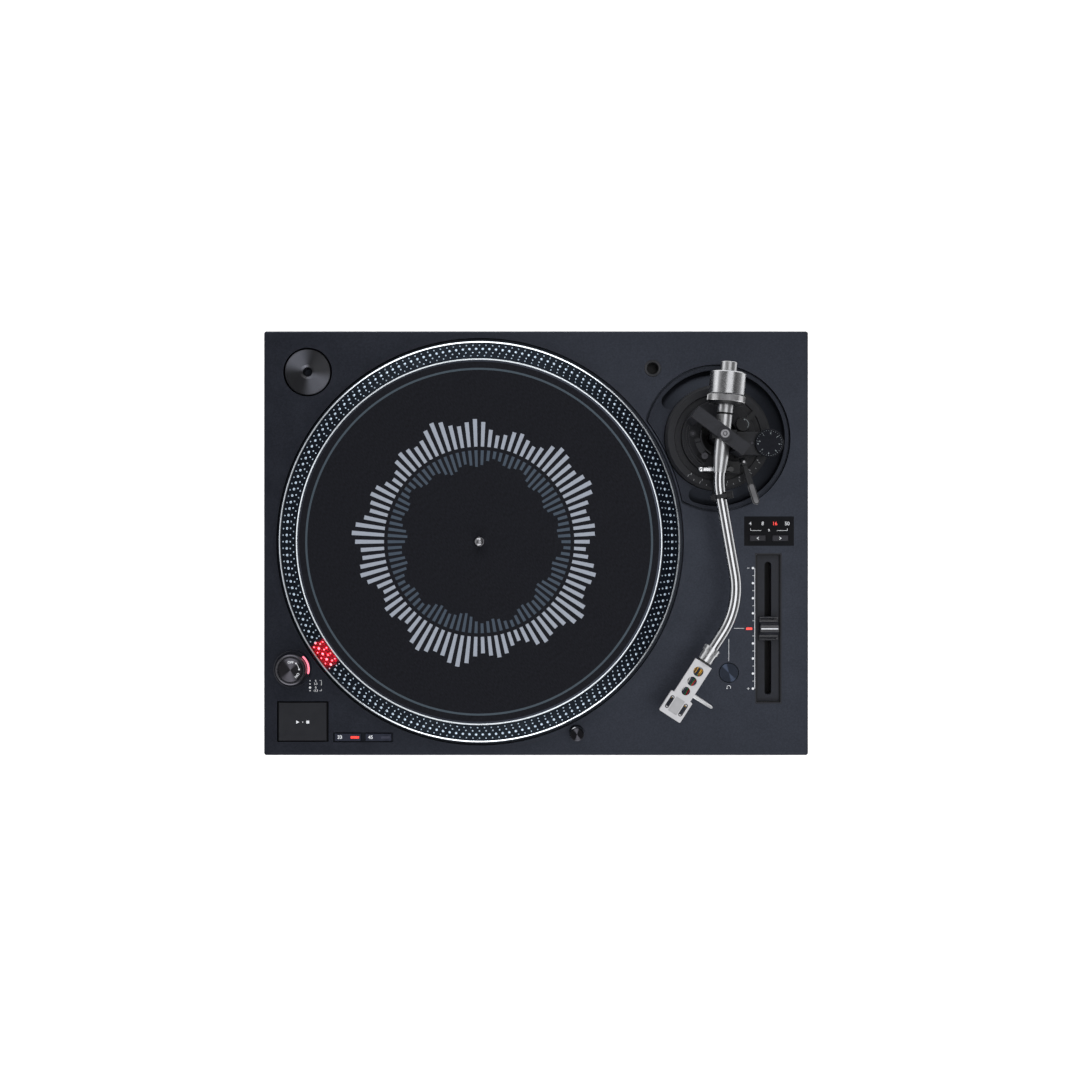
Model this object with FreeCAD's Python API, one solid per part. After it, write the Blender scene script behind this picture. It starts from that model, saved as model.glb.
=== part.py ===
import FreeCAD, Part

import math
import os

# A direct-drive record deck for mixing, without its dust cover. Millimetres, +Z up.
# The origin is on the surface the deck stands on, under the middle of its case.
# The front of the deck faces -Y. Heights named "height" are measured up from the plinth's top.

Vector = FreeCAD.Vector
UP = Vector(0, 0, 1)

# Clearances
slide_gap = 0.3
shaft_gap = 0.05
seat_gap = 0.2
cut_over = 1.0
small_bevel = 0.4

# Case
left_margin = 13.9
front_margin = 11.8
rear_margin = 9.2
arm_side_margin = 16.5
case_corner_radius = 2.0
case_edge_radius = 1.2
deck_height = 27.0
deck_plate = 5.0
deck_wall = 5.0
pad_wall = 4.0
base_height = 38.0
base_inset = 2.0
base_wall = 5.0
base_floor = 6.0
stand_height = 22.0

# Case screws
screw_side_inset = 14.5
screw_end_inset = 12.5
screw_radius = 2.0
screw_head_radius = 3.6
screw_head_height = 2.4
screw_post_radius = 6.0
screw_reach = 10.0

# Feet
foot_inset = 41.5
foot_radius = 28.0
foot_top_radius = 22.0
foot_pad_height = 11.0
foot_stud_radius = 4.0
foot_stud_grip = 17.0
foot_boss_wall = 8.0
foot_travel = 6.0

# Platter
platter_radius = 166.0
platter_edge_height = 9.3
platter_skirt_height = -2.0
band_edge = 1.1
band_width = 15.0
band_rise = 6.0
platter_top_height = 16.0
platter_plate = 5.0
platter_skirt = 5.0
platter_rib_width = 4.0
platter_rib_count = 6
finger_hole_radius = 9.0
finger_hole_place = 104.0
hub_radius = 20.0
hub_height = -7.0
magnet_outer_radius = 76.0
magnet_inner_radius = 54.0
magnet_thickness = 8.0
magnet_height = -2.0
damping_thickness = 4.0
damping_magnet_gap = 8.0
damping_margin = 10.0

# Slipmat
mat_margin = 2.3
mat_thickness = 3.0
mat_hole_radius = 4.1

# Spindle and its bearing
spindle_radius = 3.6
spindle_rise = 9.0
spindle_tip = 2.6
spindle_shoulder = 0.2
bearing_radius = 13.0
bearing_flange_radius = 24.0
bearing_flange = 4.0
bearing_depth = 34.0
bearing_floor = 4.0
bearing_nose_height = -8.5

# Motor stator
stator_radius = 84.0
stator_board = 1.6
coil_count = 9
coil_place = 65.0
coil_radius = 18.0
coil_hole_radius = 8.0
magnet_air_gap = 1.2

# Platter well in the deck
well_gap = 3.6
well_depth = 6.0
pan_margin = 10.0
pan_depth = 22.0

# Single adaptor and its cup
adaptor_side_inset = 36.4
adaptor_rear_inset = 34.0
adaptor_radius = 19.0
adaptor_hole_radius = 4.0
adaptor_height = 13.3
adaptor_crown = 1.4
adaptor_cup_gap = 1.3
cup_wall = 3.0

# Strobe tower and power knob
tower_well_gap = 2.9
tower_angle = -145.8
tower_radius = 15.2
tower_height = 8.0
tower_stem_radius = 11.8
tower_stem_depth = 14.0
lens_radius = 13.8
lens_width = 1.6
lens_start = -13.0
lens_end = 47.0
lens_depth = 3.0
power_knob_radius = 12.5
power_knob_height = 7.2
power_knob_bevel = 0.8
power_cap_radius = 10.0
power_cap_height = 1.0
power_stem_radius = 3.0
power_stem_length = 14.0

# Start and stop button
start_side_inset = 32.4
start_front_inset = 28.1
start_recess_length = 42.9
start_recess_width = 33.8
start_recess_depth = 6.0
start_top_length = 39.0
start_top_width = 31.2
start_top_height = 0.6
start_bevel = 1.6
start_gap = 0.4
start_travel = 1.2
start_plunger = 10.0
start_clip = 13.0

# Speed buttons
speed_front_inset = 15.0
speed_start_gap = 3.8
speed_spacing = 25.6
speed_length = 21.7
speed_width = 6.3
speed_recess_length = 50.0
speed_recess_width = 8.2
speed_recess_depth = 3.0
speed_top_height = 0.4
speed_travel = 0.8
speed_plunger = 3.2
speed_clip = 5.2

# Plungers, clips and switches that the buttons share
clip_thickness = 1.2
plunger_length = 6.4
switch_size = 6.0
switch_board = 1.6
switch_rise = 3.0
board_margin = 8.0
hanger_radius = 2.6

# Reset button
reset_left = 33.0
reset_front = 36.9
reset_radius = 8.1
reset_top_height = 0.8
reset_travel = 1.0
reset_clip_radius = 9.6
reset_plunger_radius = 2.0

# Target light
light_well_gap = 2.4
light_angle = -63.1
light_radius = 5.5
light_rise = 17.0
light_bevel = 0.8
light_travel = 16.0
light_grip = 22.0
light_dish_radius = 6.4
light_dish_depth = 1.0
light_sleeve_wall = 3.0

# Spare headshell holder
holder_well_gap = 27.0
holder_angle = 45.1
holder_radius = 7.0
holder_rim = 0.6
holder_body_radius = 6.2
holder_bore_radius = 4.7
holder_bore_depth = 14.0
holder_floor = 2.0

# Pitch range panel
panel_side_inset = 32.6
panel_arm_gap = 5.45
panel_length = 41.4
panel_width = 24.5
panel_thickness = 2.0
range_offset_x = 9.4
range_offset_y = -5.9
range_length = 13.4
range_width = 4.8
range_top_height = 0.6
range_travel = 0.6
range_lip = 0.8
range_plunger_radius = 1.4

# Pitch fader
fader_side_inset = 33.1
fader_panel_gap = 7.1
tray_end_gap = 1.55
tray_width = 20.2
tray_depth = 3.0
tray_rim = 1.2
tray_flange = 3.0
tray_flange_thickness = 2.0
fader_slot_width = 5.6
fader_slot_end_gap = 2.45
fader_travel = 50.0
fader_unit_width = 14.0
fader_unit_height = 14.0
fader_unit_margin = 6.0
fader_unit_wall = 2.0
knob_width = 15.4
knob_length = 20.0
knob_plinth = 3.4
knob_ridge_length = 9.0
knob_ridge_top = 5.0
knob_ridge_rise = 6.5
knob_stem_width = 4.0
knob_stem_length = 6.0
carriage_size = 8.0
carriage_height = 4.0

# Arm base plate and pocket
arm_platter_gap = 49.0
arm_place_angle = 23.6
plate_radius = 59.6
plate_groove = 1.8
plate_well_gap = 0.6
plate_rise = 1.5
pocket_depth = 6.0
pocket_wall = 3.5
well_web = 1.4
moat_rim = 3.1
moat_floor = 1.6
moat_ramp = 3.2
moat_start = -110.0
moat_end = 142.5
pocket_hole_radius = 34.0

# Height ring
ring_outer_radius = 43.7
ring_face_outer = 41.4
ring_face_inner = 36.0
ring_top_height = 8.5
ring_wall_height = 6.2
ring_step = 1.4

# Arm base, the stage that rises with the height ring
stage_radius = 30.3
stage_top_height = 12.0
stage_plate = 3.5
stage_wall = 4.0
stage_grip = 10.0
stage_floor = 2.0
stage_well_radius = 16.0
stage_travel = 6.0
pit_radius = 4.6
pit_place = 21.2
pit_angle = -129.3
pit_depth = 2.0

# Tonearm axis
arm_height = 42.0
arm_angle = 5.1
middle_angle = -10.0
shell_angle = 32.8
rear_run = 39.7
middle_run = 99.7
front_run = 40.8
rear_bend_radius = 65.0
front_bend_radius = 68.0
pipe_radius = 4.5
pipe_wall = 0.8
pipe_grip = 12.5

# Arm housing
housing_radius = 6.15
housing_front_radius = 4.95
housing_step_radius = 6.0
housing_front = 30.5
housing_cone = 10.5
housing_rear = 16.2
housing_bore_radius = 3.2
lift_limit_deg = 5.0

# Gimbal
yoke_gap = 1.0
yoke_wall = 2.4
yoke_length = 8.0
pivot_radius = 1.5
pivot_bite = 2.0
lower_pivot_radius = 2.5
lower_pivot_length = 7.0
gimbal_post_radius = 6.0
bridge_angle = 143.2
bridge_width = 10.6
bridge_thickness = 4.0
bridge_step = 1.6
bridge_rear_reach = 29.6
bridge_front_reach = 22.0
bridge_foot = 7.0
bridge_boss_radius = 5.5
bridge_boss_rise = 0.6
bridge_screw_radius = 3.5
bridge_screw_rise = 0.9

# Balance shaft, counterweight and force dial, placed by their distance behind the pivot
break_length = 1.6
break_radius = 5.4
collar_ring_length = 4.5
collar_ring_radius = 6.3
shaft_radius = 6.45
shaft_end = 58.7
bush_wall = 1.1
dial_start = 24.2
dial_length = 7.4
dial_radius = 15.25
weight_length = 18.5
weight_radius = 14.5
weight_edge = 0.8
weight_rim = 2.3
weight_hub_wall = 1.5
weight_recess = 6.5

# Headshell socket, locking collar and plug, placed by their distance along the front run
socket_radius = 5.2
socket_length = 10.7
socket_bore_depth = 8.2
plug_radius = 4.0
plug_length = 10.2
collar_start = 40.2
knurl_length = 4.8
knurl_radius = 6.7
collar_length = 12.4
collar_radius = 6.1
collar_lip = 0.8

# Headshell
shell_start = 54.6
shell_length = 50.7
shell_neck_width = 15.2
shell_block_start = 86.5
shell_block_width = 19.8
shell_corner_radius = 1.0
shell_top = 3.5
shell_plate = 3.0
shell_block_plate = 4.4
shell_root = 5.0
shell_root_width = 13.2
shell_root_drop = 4.4
washer_radius = 5.4
washer_length = 1.6
shell_hole_first = 62.5
shell_hole_step = 9.3
shell_hole_radius = 4.1
shell_hole_shrink = 0.3
slot_spacing = 12.7
slot_place = 95.1
slot_length = 8.6
slot_width = 2.6
shell_dip_length = 13.0
shell_dip_width = 8.0
shell_dip_depth = 0.5
lead_count = 4
lead_spacing = 1.8
lead_radius = 0.45
pin_radius = 0.65
pin_length = 5.0
finger_place = 80.9
finger_reach = 17.6
finger_root_width = 5.0
finger_tip_width = 3.0
finger_thickness = 1.6
finger_curl = 2.6

# Arm rest and clamp
rest_place = 49.9
rest_length = 6.0
rest_reach_width = 7.0
rest_arm_thickness = 4.0
rest_saddle_width = 13.0
rest_saddle_thickness = 3.2
rest_wall = 2.4
rest_side_gap = 0.4
clamp_lobe_radius = 2.6
clamp_band = 2.0
clamp_band_width = 3.4
clamp_pin_radius = 1.2
clamp_span = 13.0

# Lifter, lift bar and cue lever
lifter_right = 9.5
lifter_front = 25.4
lifter_length = 12.0
lifter_width = 10.0
lift_rod_front = 27.2
lift_plunger_right = 7.5
lift_rod_radius = 2.0
lift_ball_left = 16.1
lift_ball_radius = 2.6
lift_head_radius = 2.5
lift_travel = 3.0
lift_rod_clearance = 1.0
lift_plunger_length = 14.0
lever_right = 18.9
lever_front = 21.0
lever_angle = -72.1
lever_axis_height = 24.0
lever_hub_radius = 3.5
lever_hub_length = 4.0
lever_shaft_radius = 1.5
lever_shaft_length = 5.6
lever_thin = 15.5
lever_thin_width = 2.6
lever_neck_width = 4.6
lever_grip_start = 21.0
lever_grip_end = 33.5
lever_grip_width = 5.3
lever_grip_step = 0.4
lever_thickness = 3.0

# Anti-skate housing and dial
skate_right = 39.5
skate_front = 5.8
skate_width = 19.0
skate_inner_right = 13.5
skate_end = 5.0
skate_height = 12.0
skate_dial_radius = 11.6
skate_dial_height = 4.0
skate_stem_radius = 3.0
skate_stem_length = 8.0

# Height lock
lock_right = 19.5
lock_rear = 10.1
lock_radius = 5.8
lock_height = 7.8
lock_lever_length = 14.0
lock_lever_width = 4.0
lock_lever_angle = 45.0
lock_lever_thickness = 2.6
lock_stem_radius = 2.5

# Output terminals in their bay at the back
bay_side_inset = 106.5
bay_length = 70.0
bay_height = 26.0
bay_depth = 16.0
bay_floor = 6.0
bay_wall = 3.0
terminal_plate = 2.0
jack_radius = 4.15
jack_length = 9.0
jack_base_radius = 6.0
jack_base = 1.2
jack_bore_radius = 1.7
jack_spacing = 20.0
earth_radius = 2.0
earth_nut_radius = 4.6
earth_nut_length = 4.0

# Mains inlet at the back
inlet_side_inset = 106.5
inlet_length = 30.0
inlet_height = 20.0
inlet_depth = 24.0
inlet_rise = 9.0
inlet_socket_radius = 4.4
inlet_socket_depth = 13.0
inlet_pin_radius = 1.2
inlet_pin_spacing = 8.6
inlet_pin_length = 10.0

# Holders for the dust cover's hinges
hinge_side_inset = 81.5
hinge_length = 34.0
hinge_height = 17.0
hinge_depth = 16.0
hinge_slot_length = 24.0
hinge_slot_height = 10.0
hinge_slot_depth = 12.0

# Circuit boards in the base
board_thickness = 1.6
board_stand = 8.0
board_stand_radius = 3.5
board_edge = 6.0
supply_side_inset = 121.5
supply_rear_inset = 101.5
supply_length = 120.0
supply_width = 100.0
transformer_length = 38.0
transformer_width = 32.0
transformer_height = 21.0
capacitor_radius = 8.0
capacitor_height = 20.0
capacitor_count = 2
capacitor_spacing = 22.0
heat_sink_length = 44.0
heat_sink_thickness = 4.0
heat_sink_height = 22.0
main_side_inset = 141.5
main_front_inset = 111.5
main_length = 130.0
main_width = 90.0
chip_size = 14.0
chip_height = 2.0
header_length = 20.0
header_depth = 5.0
header_height = 9.0


def beside_well(gap, angle):
    """Place that far outside the platter well's wall."""
    turn = math.radians(angle)
    reach = well_radius + gap
    return Vector(platter_x + reach * math.cos(turn), platter_y + reach * math.sin(turn), 0)


# Platter and its well, worked out from the platter's own size
well_radius = platter_radius + well_gap
band_outer_radius = platter_radius - band_edge
band_inner_radius = band_outer_radius - band_width
mat_radius = band_inner_radius - mat_margin
pan_radius = platter_radius - pan_margin
damping_outer_radius = platter_radius - damping_margin
damping_inner_radius = magnet_outer_radius + damping_magnet_gap
mat_top_height = platter_top_height + seat_gap + mat_thickness
hub_bore_radius = spindle_radius + spindle_shoulder

# Case, worked out from the platter and the arm's distance to it
arm_reach = platter_radius + arm_platter_gap
arm_across = arm_reach * math.cos(math.radians(arm_place_angle))
arm_back = arm_reach * math.sin(math.radians(arm_place_angle))
case_length = left_margin + platter_radius + arm_across + plate_radius + arm_side_margin
case_depth = front_margin + 2 * platter_radius + rear_margin
case_right = case_length / 2
case_rear = case_depth / 2
platter_x = left_margin + platter_radius - case_right
platter_y = front_margin + platter_radius - case_rear
arm_x = platter_x + arm_across
arm_y = platter_y + arm_back

# Pieces round the platter
adaptor_x = adaptor_side_inset - case_right
adaptor_y = case_rear - adaptor_rear_inset
tower_x = beside_well(tower_well_gap + tower_radius, tower_angle).x
tower_y = beside_well(tower_well_gap + tower_radius, tower_angle).y
light_x = beside_well(light_well_gap + light_radius, light_angle).x
light_y = beside_well(light_well_gap + light_radius, light_angle).y
holder_x = beside_well(holder_well_gap + holder_radius, holder_angle).x
holder_y = beside_well(holder_well_gap + holder_radius, holder_angle).y
start_x = start_side_inset - case_right
start_y = start_front_inset - case_rear
speed_recess_x = start_x + (start_recess_length + speed_recess_length) / 2 + speed_start_gap
speed_y = speed_front_inset - case_rear
speed_33_x = speed_recess_x - speed_spacing / 2
speed_45_x = speed_recess_x + speed_spacing / 2

# Column of pieces in front of the arm
tray_length = 2 * (fader_travel + tray_end_gap) + knob_length
panel_x = case_right - panel_side_inset
panel_y = arm_y - plate_radius - panel_arm_gap - panel_width / 2
fader_x = case_right - fader_side_inset
fader_y = panel_y - panel_width / 2 - fader_panel_gap - tray_length / 2
reset_x = fader_x - reset_left
reset_y = fader_y - reset_front

# Pieces that stand round the arm's pivot
moat_outer_radius = plate_radius - moat_rim
lifter_x = arm_x + lifter_right
lifter_y = arm_y - lifter_front
lift_rod_y = arm_y - lift_rod_front
lift_plunger_x = arm_x + lift_plunger_right
lift_ball_x = arm_x - lift_ball_left
lever_x = arm_x + lever_right
lever_y = arm_y - lever_front
skate_x = arm_x + skate_right
skate_y = arm_y - skate_front
skate_inner_x = arm_x + skate_inner_right
lock_x = arm_x + lock_right
lock_y = arm_y + lock_rear

# Pieces at the back and in the base
bay_x = case_right - bay_side_inset
inlet_x = inlet_side_inset - case_right
hinge_x = case_right - hinge_side_inset
supply_x = supply_side_inset - case_right
supply_y = case_rear - supply_rear_inset
main_x = case_right - main_side_inset
main_y = main_front_inset - case_rear

# Other places worked out from the sizes above
base_z = stand_height
seam_z = base_z + base_height
plinth_z = seam_z + deck_height
deck_under = -deck_plate
base_rear = case_rear - base_inset
screw_x = case_right - screw_side_inset
screw_y = case_rear - screw_end_inset
foot_x = case_right - foot_inset
foot_y = case_rear - foot_inset
pan_floor_height = -pan_depth
fader_slot_length = 2 * (fader_travel + fader_slot_end_gap) + knob_stem_length
foot_stud_length = foot_travel + foot_stud_grip
stage_depth = stage_travel + stage_grip
arm_dir = Vector(-math.sin(math.radians(arm_angle)), -math.cos(math.radians(arm_angle)), 0)
rear_dir = arm_dir.negative()
pitch_dir = Vector(arm_dir.y, -arm_dir.x, 0)
middle_dir = Vector(-math.sin(math.radians(middle_angle)), -math.cos(math.radians(middle_angle)), 0)
shell_dir = Vector(-math.sin(math.radians(shell_angle)), -math.cos(math.radians(shell_angle)), 0)


def z(height):
    """Height over the plinth's top, as a height over the floor."""
    return plinth_z + height


pivot = Vector(arm_x, arm_y, z(arm_height))
rear_corner = pivot + arm_dir * rear_run
front_corner = rear_corner + middle_dir * middle_run


def cylinder(x, y, low, high, radius):
    return Part.makeCylinder(radius, high - low, Vector(x, y, low))


def tube(x, y, low, high, outer, inner):
    return cylinder(x, y, low, high, outer).cut(cylinder(x, y, low, high, inner))


def block(x, y, low, high, length, width):
    """Box centred on x and y."""
    return Part.makeBox(length, width, high - low, Vector(x - length / 2, y - width / 2, low))


def upright(edge):
    return abs(edge.tangentAt(edge.FirstParameter).z) > 0.99


def rounded_block(x, y, low, high, length, width, radius):
    body = block(x, y, low, high, length, width)
    return body.makeFillet(radius, [edge for edge in body.Edges if upright(edge)])


def edges_at(body, height):
    """The edges that lie flat at one height."""
    return [edge for edge in body.Edges
            if abs(edge.BoundBox.ZMin - height) < 1e-6 and abs(edge.BoundBox.ZMax - height) < 1e-6]


def soften_top(body, radius):
    return body.makeFillet(radius, edges_at(body, body.BoundBox.ZMax))


def bevel_top(body, size):
    return body.makeChamfer(size, edges_at(body, body.BoundBox.ZMax))


def polar(x, y, radius, angle):
    turn = math.radians(angle)
    return Vector(x + radius * math.cos(turn), y + radius * math.sin(turn), 0)


def stadium(start, end, radius, low, high):
    """Round-ended bar between two places in plan."""
    along = (end - start).normalize() * radius
    side = Vector(-along.y, along.x, 0)
    outline = [Part.LineSegment(start + side, end + side).toShape(),
               Part.Arc(end + side, end + along, end - side).toShape(),
               Part.LineSegment(end - side, start - side).toShape(),
               Part.Arc(start - side, start - along, start + side).toShape()]
    face = Part.Face(Part.Wire(outline))
    face.translate(Vector(0, 0, low))
    return face.extrude(Vector(0, 0, high - low))


def tapered_bar(start, end, start_width, end_width, low, high):
    """Square-ended bar between two places in plan, with its own width at each end."""
    along = (end - start).normalize()
    side = Vector(-along.y, along.x, 0)
    points = [start + side * (start_width / 2), end + side * (end_width / 2),
              end - side * (end_width / 2), start - side * (start_width / 2)]
    face = Part.Face(Part.makePolygon(points + points[:1]))
    face.translate(Vector(0, 0, low))
    return face.extrude(Vector(0, 0, high - low))


def ring_stretch(x, y, low, high, outer, inner, start, end):
    """Round-ended stretch of a ring, between two angles in degrees."""
    middle = (start + end) / 2
    centre = (outer + inner) / 2
    nose = (outer - inner) / 2
    start_nose = polar(x, y, centre, start) + polar(0, 0, nose, start - 90)
    end_nose = polar(x, y, centre, end) + polar(0, 0, nose, end + 90)
    outer_points = [polar(x, y, outer, angle) for angle in (start, middle, end)]
    inner_points = [polar(x, y, inner, angle) for angle in (end, middle, start)]
    outline = [Part.Arc(*outer_points).toShape(),
               Part.Arc(outer_points[-1], end_nose, inner_points[0]).toShape(),
               Part.Arc(*inner_points).toShape(),
               Part.Arc(inner_points[-1], start_nose, outer_points[0]).toShape()]
    face = Part.Face(Part.Wire(outline))
    face.translate(Vector(0, 0, low))
    return face.extrude(Vector(0, 0, high - low))


def turned(x, y, outline):
    """Body turned about an upright axis, from its outline of radius and height."""
    points = [Vector(x + radius, y, height) for radius, height in outline]
    return Part.Face(Part.makePolygon(points + points[:1])).revolve(Vector(x, y, 0), UP, 360)


def turned_along(origin, direction, outline):
    """Body turned about an axis through origin, from its outline of distance and radius."""
    points = [Vector(radius, 0, distance) for distance, radius in outline]
    body = Part.Face(Part.makePolygon(points + points[:1])).revolve(Vector(), UP, 360)
    body.Placement = FreeCAD.Placement(origin, FreeCAD.Rotation(UP, direction))
    return body


def rod(start, end, radius):
    along = end - start
    return Part.makeCylinder(radius, along.Length, start, along)


def frustum(x, y, low, high, length, width, top_length, top_width):
    """Block whose sides lean in towards a smaller top."""
    wires = []
    for height, size_x, size_y in ((low, length, width), (high, top_length, top_width)):
        points = [Vector(x + side * size_x / 2, y + end * size_y / 2, height)
                  for side, end in ((-1, -1), (1, -1), (1, 1), (-1, 1))]
        wires.append(Part.makePolygon(points + points[:1]))
    return Part.makeLoft(wires, True, True)


# Case


def corners(x, y):
    return [(side * x, end * y) for side in (-1, 1) for end in (-1, 1)]


def screw_places():
    return corners(screw_x, screw_y) + [(0, -screw_y), (0, screw_y)]


def light_floor_height():
    return -light_grip - light_travel - slide_gap


def deck_additions():
    """Everything cast under the deck plate: wells, cups, pads and bosses."""
    top = z(-cut_over)
    parts = [
        cylinder(platter_x, platter_y, z(-well_depth - pad_wall), top, well_radius + pad_wall),
        cylinder(platter_x, platter_y, z(-pan_depth - pad_wall), z(-well_depth), pan_radius + pad_wall),
        cylinder(arm_x, arm_y, z(-pocket_depth - pad_wall), top, plate_radius + plate_groove + pocket_wall),
        cylinder(adaptor_x, adaptor_y, z(-adaptor_height - seat_gap - cup_wall), top,
                 adaptor_radius + adaptor_cup_gap + cup_wall),
        block(start_x, start_y, z(-start_recess_depth - pad_wall), top,
              start_recess_length + 2 * pad_wall, start_recess_width + 2 * pad_wall),
        cylinder(light_x, light_y, z(light_floor_height() - light_sleeve_wall), top,
                 light_radius + slide_gap + light_sleeve_wall)]
    for x, y in screw_places():
        parts.append(cylinder(x, y, seam_z, z(-start_recess_depth - pad_wall), screw_post_radius))
        parts.append(cylinder(x, y, z(-start_recess_depth - pad_wall), top, screw_post_radius))
    for x, y, low in hanger_places():
        parts.append(cylinder(x, y, low, top, hanger_radius))
    return parts


def deck_cuts():
    """Wells, recesses and holes, cut from above."""
    over = z(cut_over)
    under = z(-start_recess_depth - pad_wall - cut_over)
    pocket = cylinder(arm_x, arm_y, z(-pocket_depth), over, plate_radius + plate_groove)
    pocket = pocket.cut(cylinder(platter_x, platter_y, z(-pocket_depth), over, well_radius + well_web))
    cuts = [
        cylinder(platter_x, platter_y, z(-well_depth), over, well_radius),
        cylinder(platter_x, platter_y, z(-pan_depth), over, pan_radius),
        cylinder(platter_x, platter_y, z(-pan_depth - pad_wall - cut_over), over, bearing_radius),
        pocket,
        cylinder(arm_x, arm_y, z(-pocket_depth - pad_wall - cut_over), over, pocket_hole_radius),
        cylinder(adaptor_x, adaptor_y, z(-adaptor_height - seat_gap), over, adaptor_radius + adaptor_cup_gap),
        cylinder(tower_x, tower_y, z(-well_depth - pad_wall - cut_over), over, tower_stem_radius),
        block(start_x, start_y, z(-start_recess_depth), over, start_recess_length, start_recess_width),
        block(start_x, start_y, under, over, start_plunger + 2 * start_gap, start_plunger + 2 * start_gap),
        block(speed_recess_x, speed_y, z(-speed_recess_depth), over, speed_recess_length, speed_recess_width),
        cylinder(light_x, light_y, z(light_floor_height()), over, light_radius + slide_gap),
        cylinder(light_x, light_y, z(-light_dish_depth), over, light_dish_radius),
        cylinder(holder_x, holder_y, under, over, holder_body_radius),
        block(panel_x, panel_y, z(-panel_thickness), over, panel_length, panel_width),
        block(panel_x, panel_y + range_offset_y, z(deck_under - cut_over), over,
              2 * range_offset_x + range_length + 4 * range_lip, range_width + 4 * range_lip),
        block(fader_x, fader_y, z(deck_under - cut_over), over, tray_width + 2 * tray_rim,
              tray_length + 2 * tray_rim),
        cylinder(reset_x, reset_y, z(deck_under - cut_over), over, reset_radius + slide_gap)]
    for x in (speed_33_x, speed_45_x):
        hole = speed_plunger + 2 * slide_gap
        cuts.append(block(x, speed_y, z(deck_under - cut_over), over, hole, hole))
    for x, y in screw_places():
        cuts.append(cylinder(x, y, seam_z - cut_over, seam_z + screw_reach, screw_radius))
    for x in (-hinge_x, hinge_x):
        cuts.append(block(x, case_rear - hinge_depth / 2, z(deck_under - hinge_height), z(deck_under),
                          hinge_length, hinge_depth + cut_over))
    return cuts


def make_top_chassis():
    body = rounded_block(0, 0, seam_z, plinth_z, case_length, case_depth, case_corner_radius)
    body = soften_top(body, case_edge_radius)
    inside = block(0, 0, seam_z - cut_over, z(deck_under), case_length - 2 * deck_wall,
                   case_depth - 2 * deck_wall)
    body = body.cut(inside)
    body = body.fuse(deck_additions())
    return body.cut(deck_cuts()).removeSplitter()


def make_bottom_case():
    outer_length = case_length - 2 * base_inset
    outer_depth = case_depth - 2 * base_inset
    floor_z = base_z + base_floor
    body = rounded_block(0, 0, base_z, seam_z, outer_length, outer_depth, case_corner_radius)
    body = body.cut(block(0, 0, floor_z, seam_z + cut_over, outer_length - 2 * base_wall,
                          outer_depth - 2 * base_wall))
    bay_z = base_z + bay_floor
    bay_y = base_rear - (bay_depth + bay_wall) / 2
    posts = [cylinder(x, y, base_z, seam_z, screw_post_radius) for x, y in screw_places()]
    boss_top = base_z + foot_stud_length + base_floor
    boss_radius = foot_stud_radius + foot_boss_wall
    posts += [cylinder(x, y, base_z, boss_top, boss_radius) for x, y in corners(foot_x, foot_y)]
    board_places = (board_corners(supply_x, supply_y, supply_length, supply_width)
                    + board_corners(main_x, main_y, main_length, main_width))
    posts += [cylinder(x, y, floor_z, board_low(), board_stand_radius) for x, y in board_places]
    posts.append(block(bay_x, bay_y, floor_z, bay_z + bay_height + bay_wall, bay_length + 2 * bay_wall,
                       bay_depth + bay_wall))
    body = body.fuse(posts)
    cuts = [block(bay_x, base_rear - bay_depth / 2 + cut_over / 2, bay_z, bay_z + bay_height, bay_length,
                  bay_depth + cut_over),
            block(inlet_x, base_rear, base_z + inlet_rise, base_z + inlet_rise + inlet_height, inlet_length,
                  2 * (base_wall + cut_over))]
    for x, y in screw_places():
        cuts.append(cylinder(x, y, base_z - cut_over, seam_z + cut_over, screw_radius))
        cuts.append(cylinder(x, y, base_z - cut_over, floor_z + screw_head_height, screw_head_radius))
    for x, y in corners(foot_x, foot_y):
        cuts.append(cylinder(x, y, base_z - cut_over, base_z + foot_stud_length + slide_gap,
                             foot_stud_radius + shaft_gap))
    return body.cut(cuts).removeSplitter()


def make_case_screws():
    head_z = base_z + base_floor
    screws = []
    for x, y in screw_places():
        shank = cylinder(x, y, head_z, seam_z + screw_reach, screw_radius)
        head = cylinder(x, y, head_z, head_z + screw_head_height, screw_head_radius)
        drive = block(x, y, head_z, head_z + screw_head_height / 2, 2 * screw_radius, screw_radius / 2)
        screws.append(shank.fuse(head).cut(drive))
    return Part.makeCompound(screws)


def make_foot(x, y):
    """Rubber-padded foot on a threaded stud."""
    top = stand_height - seat_gap
    waist = foot_top_radius + (foot_radius - foot_top_radius) / 2
    outline = [(0, 0), (foot_radius - 1, 0), (foot_radius, 1), (foot_radius, foot_pad_height),
               (waist, foot_pad_height + 1), (foot_top_radius, top), (foot_stud_radius, top),
               (foot_stud_radius, base_z + foot_stud_length), (0, base_z + foot_stud_length)]
    return turned(x, y, outline)


# Platter and motor


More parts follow.
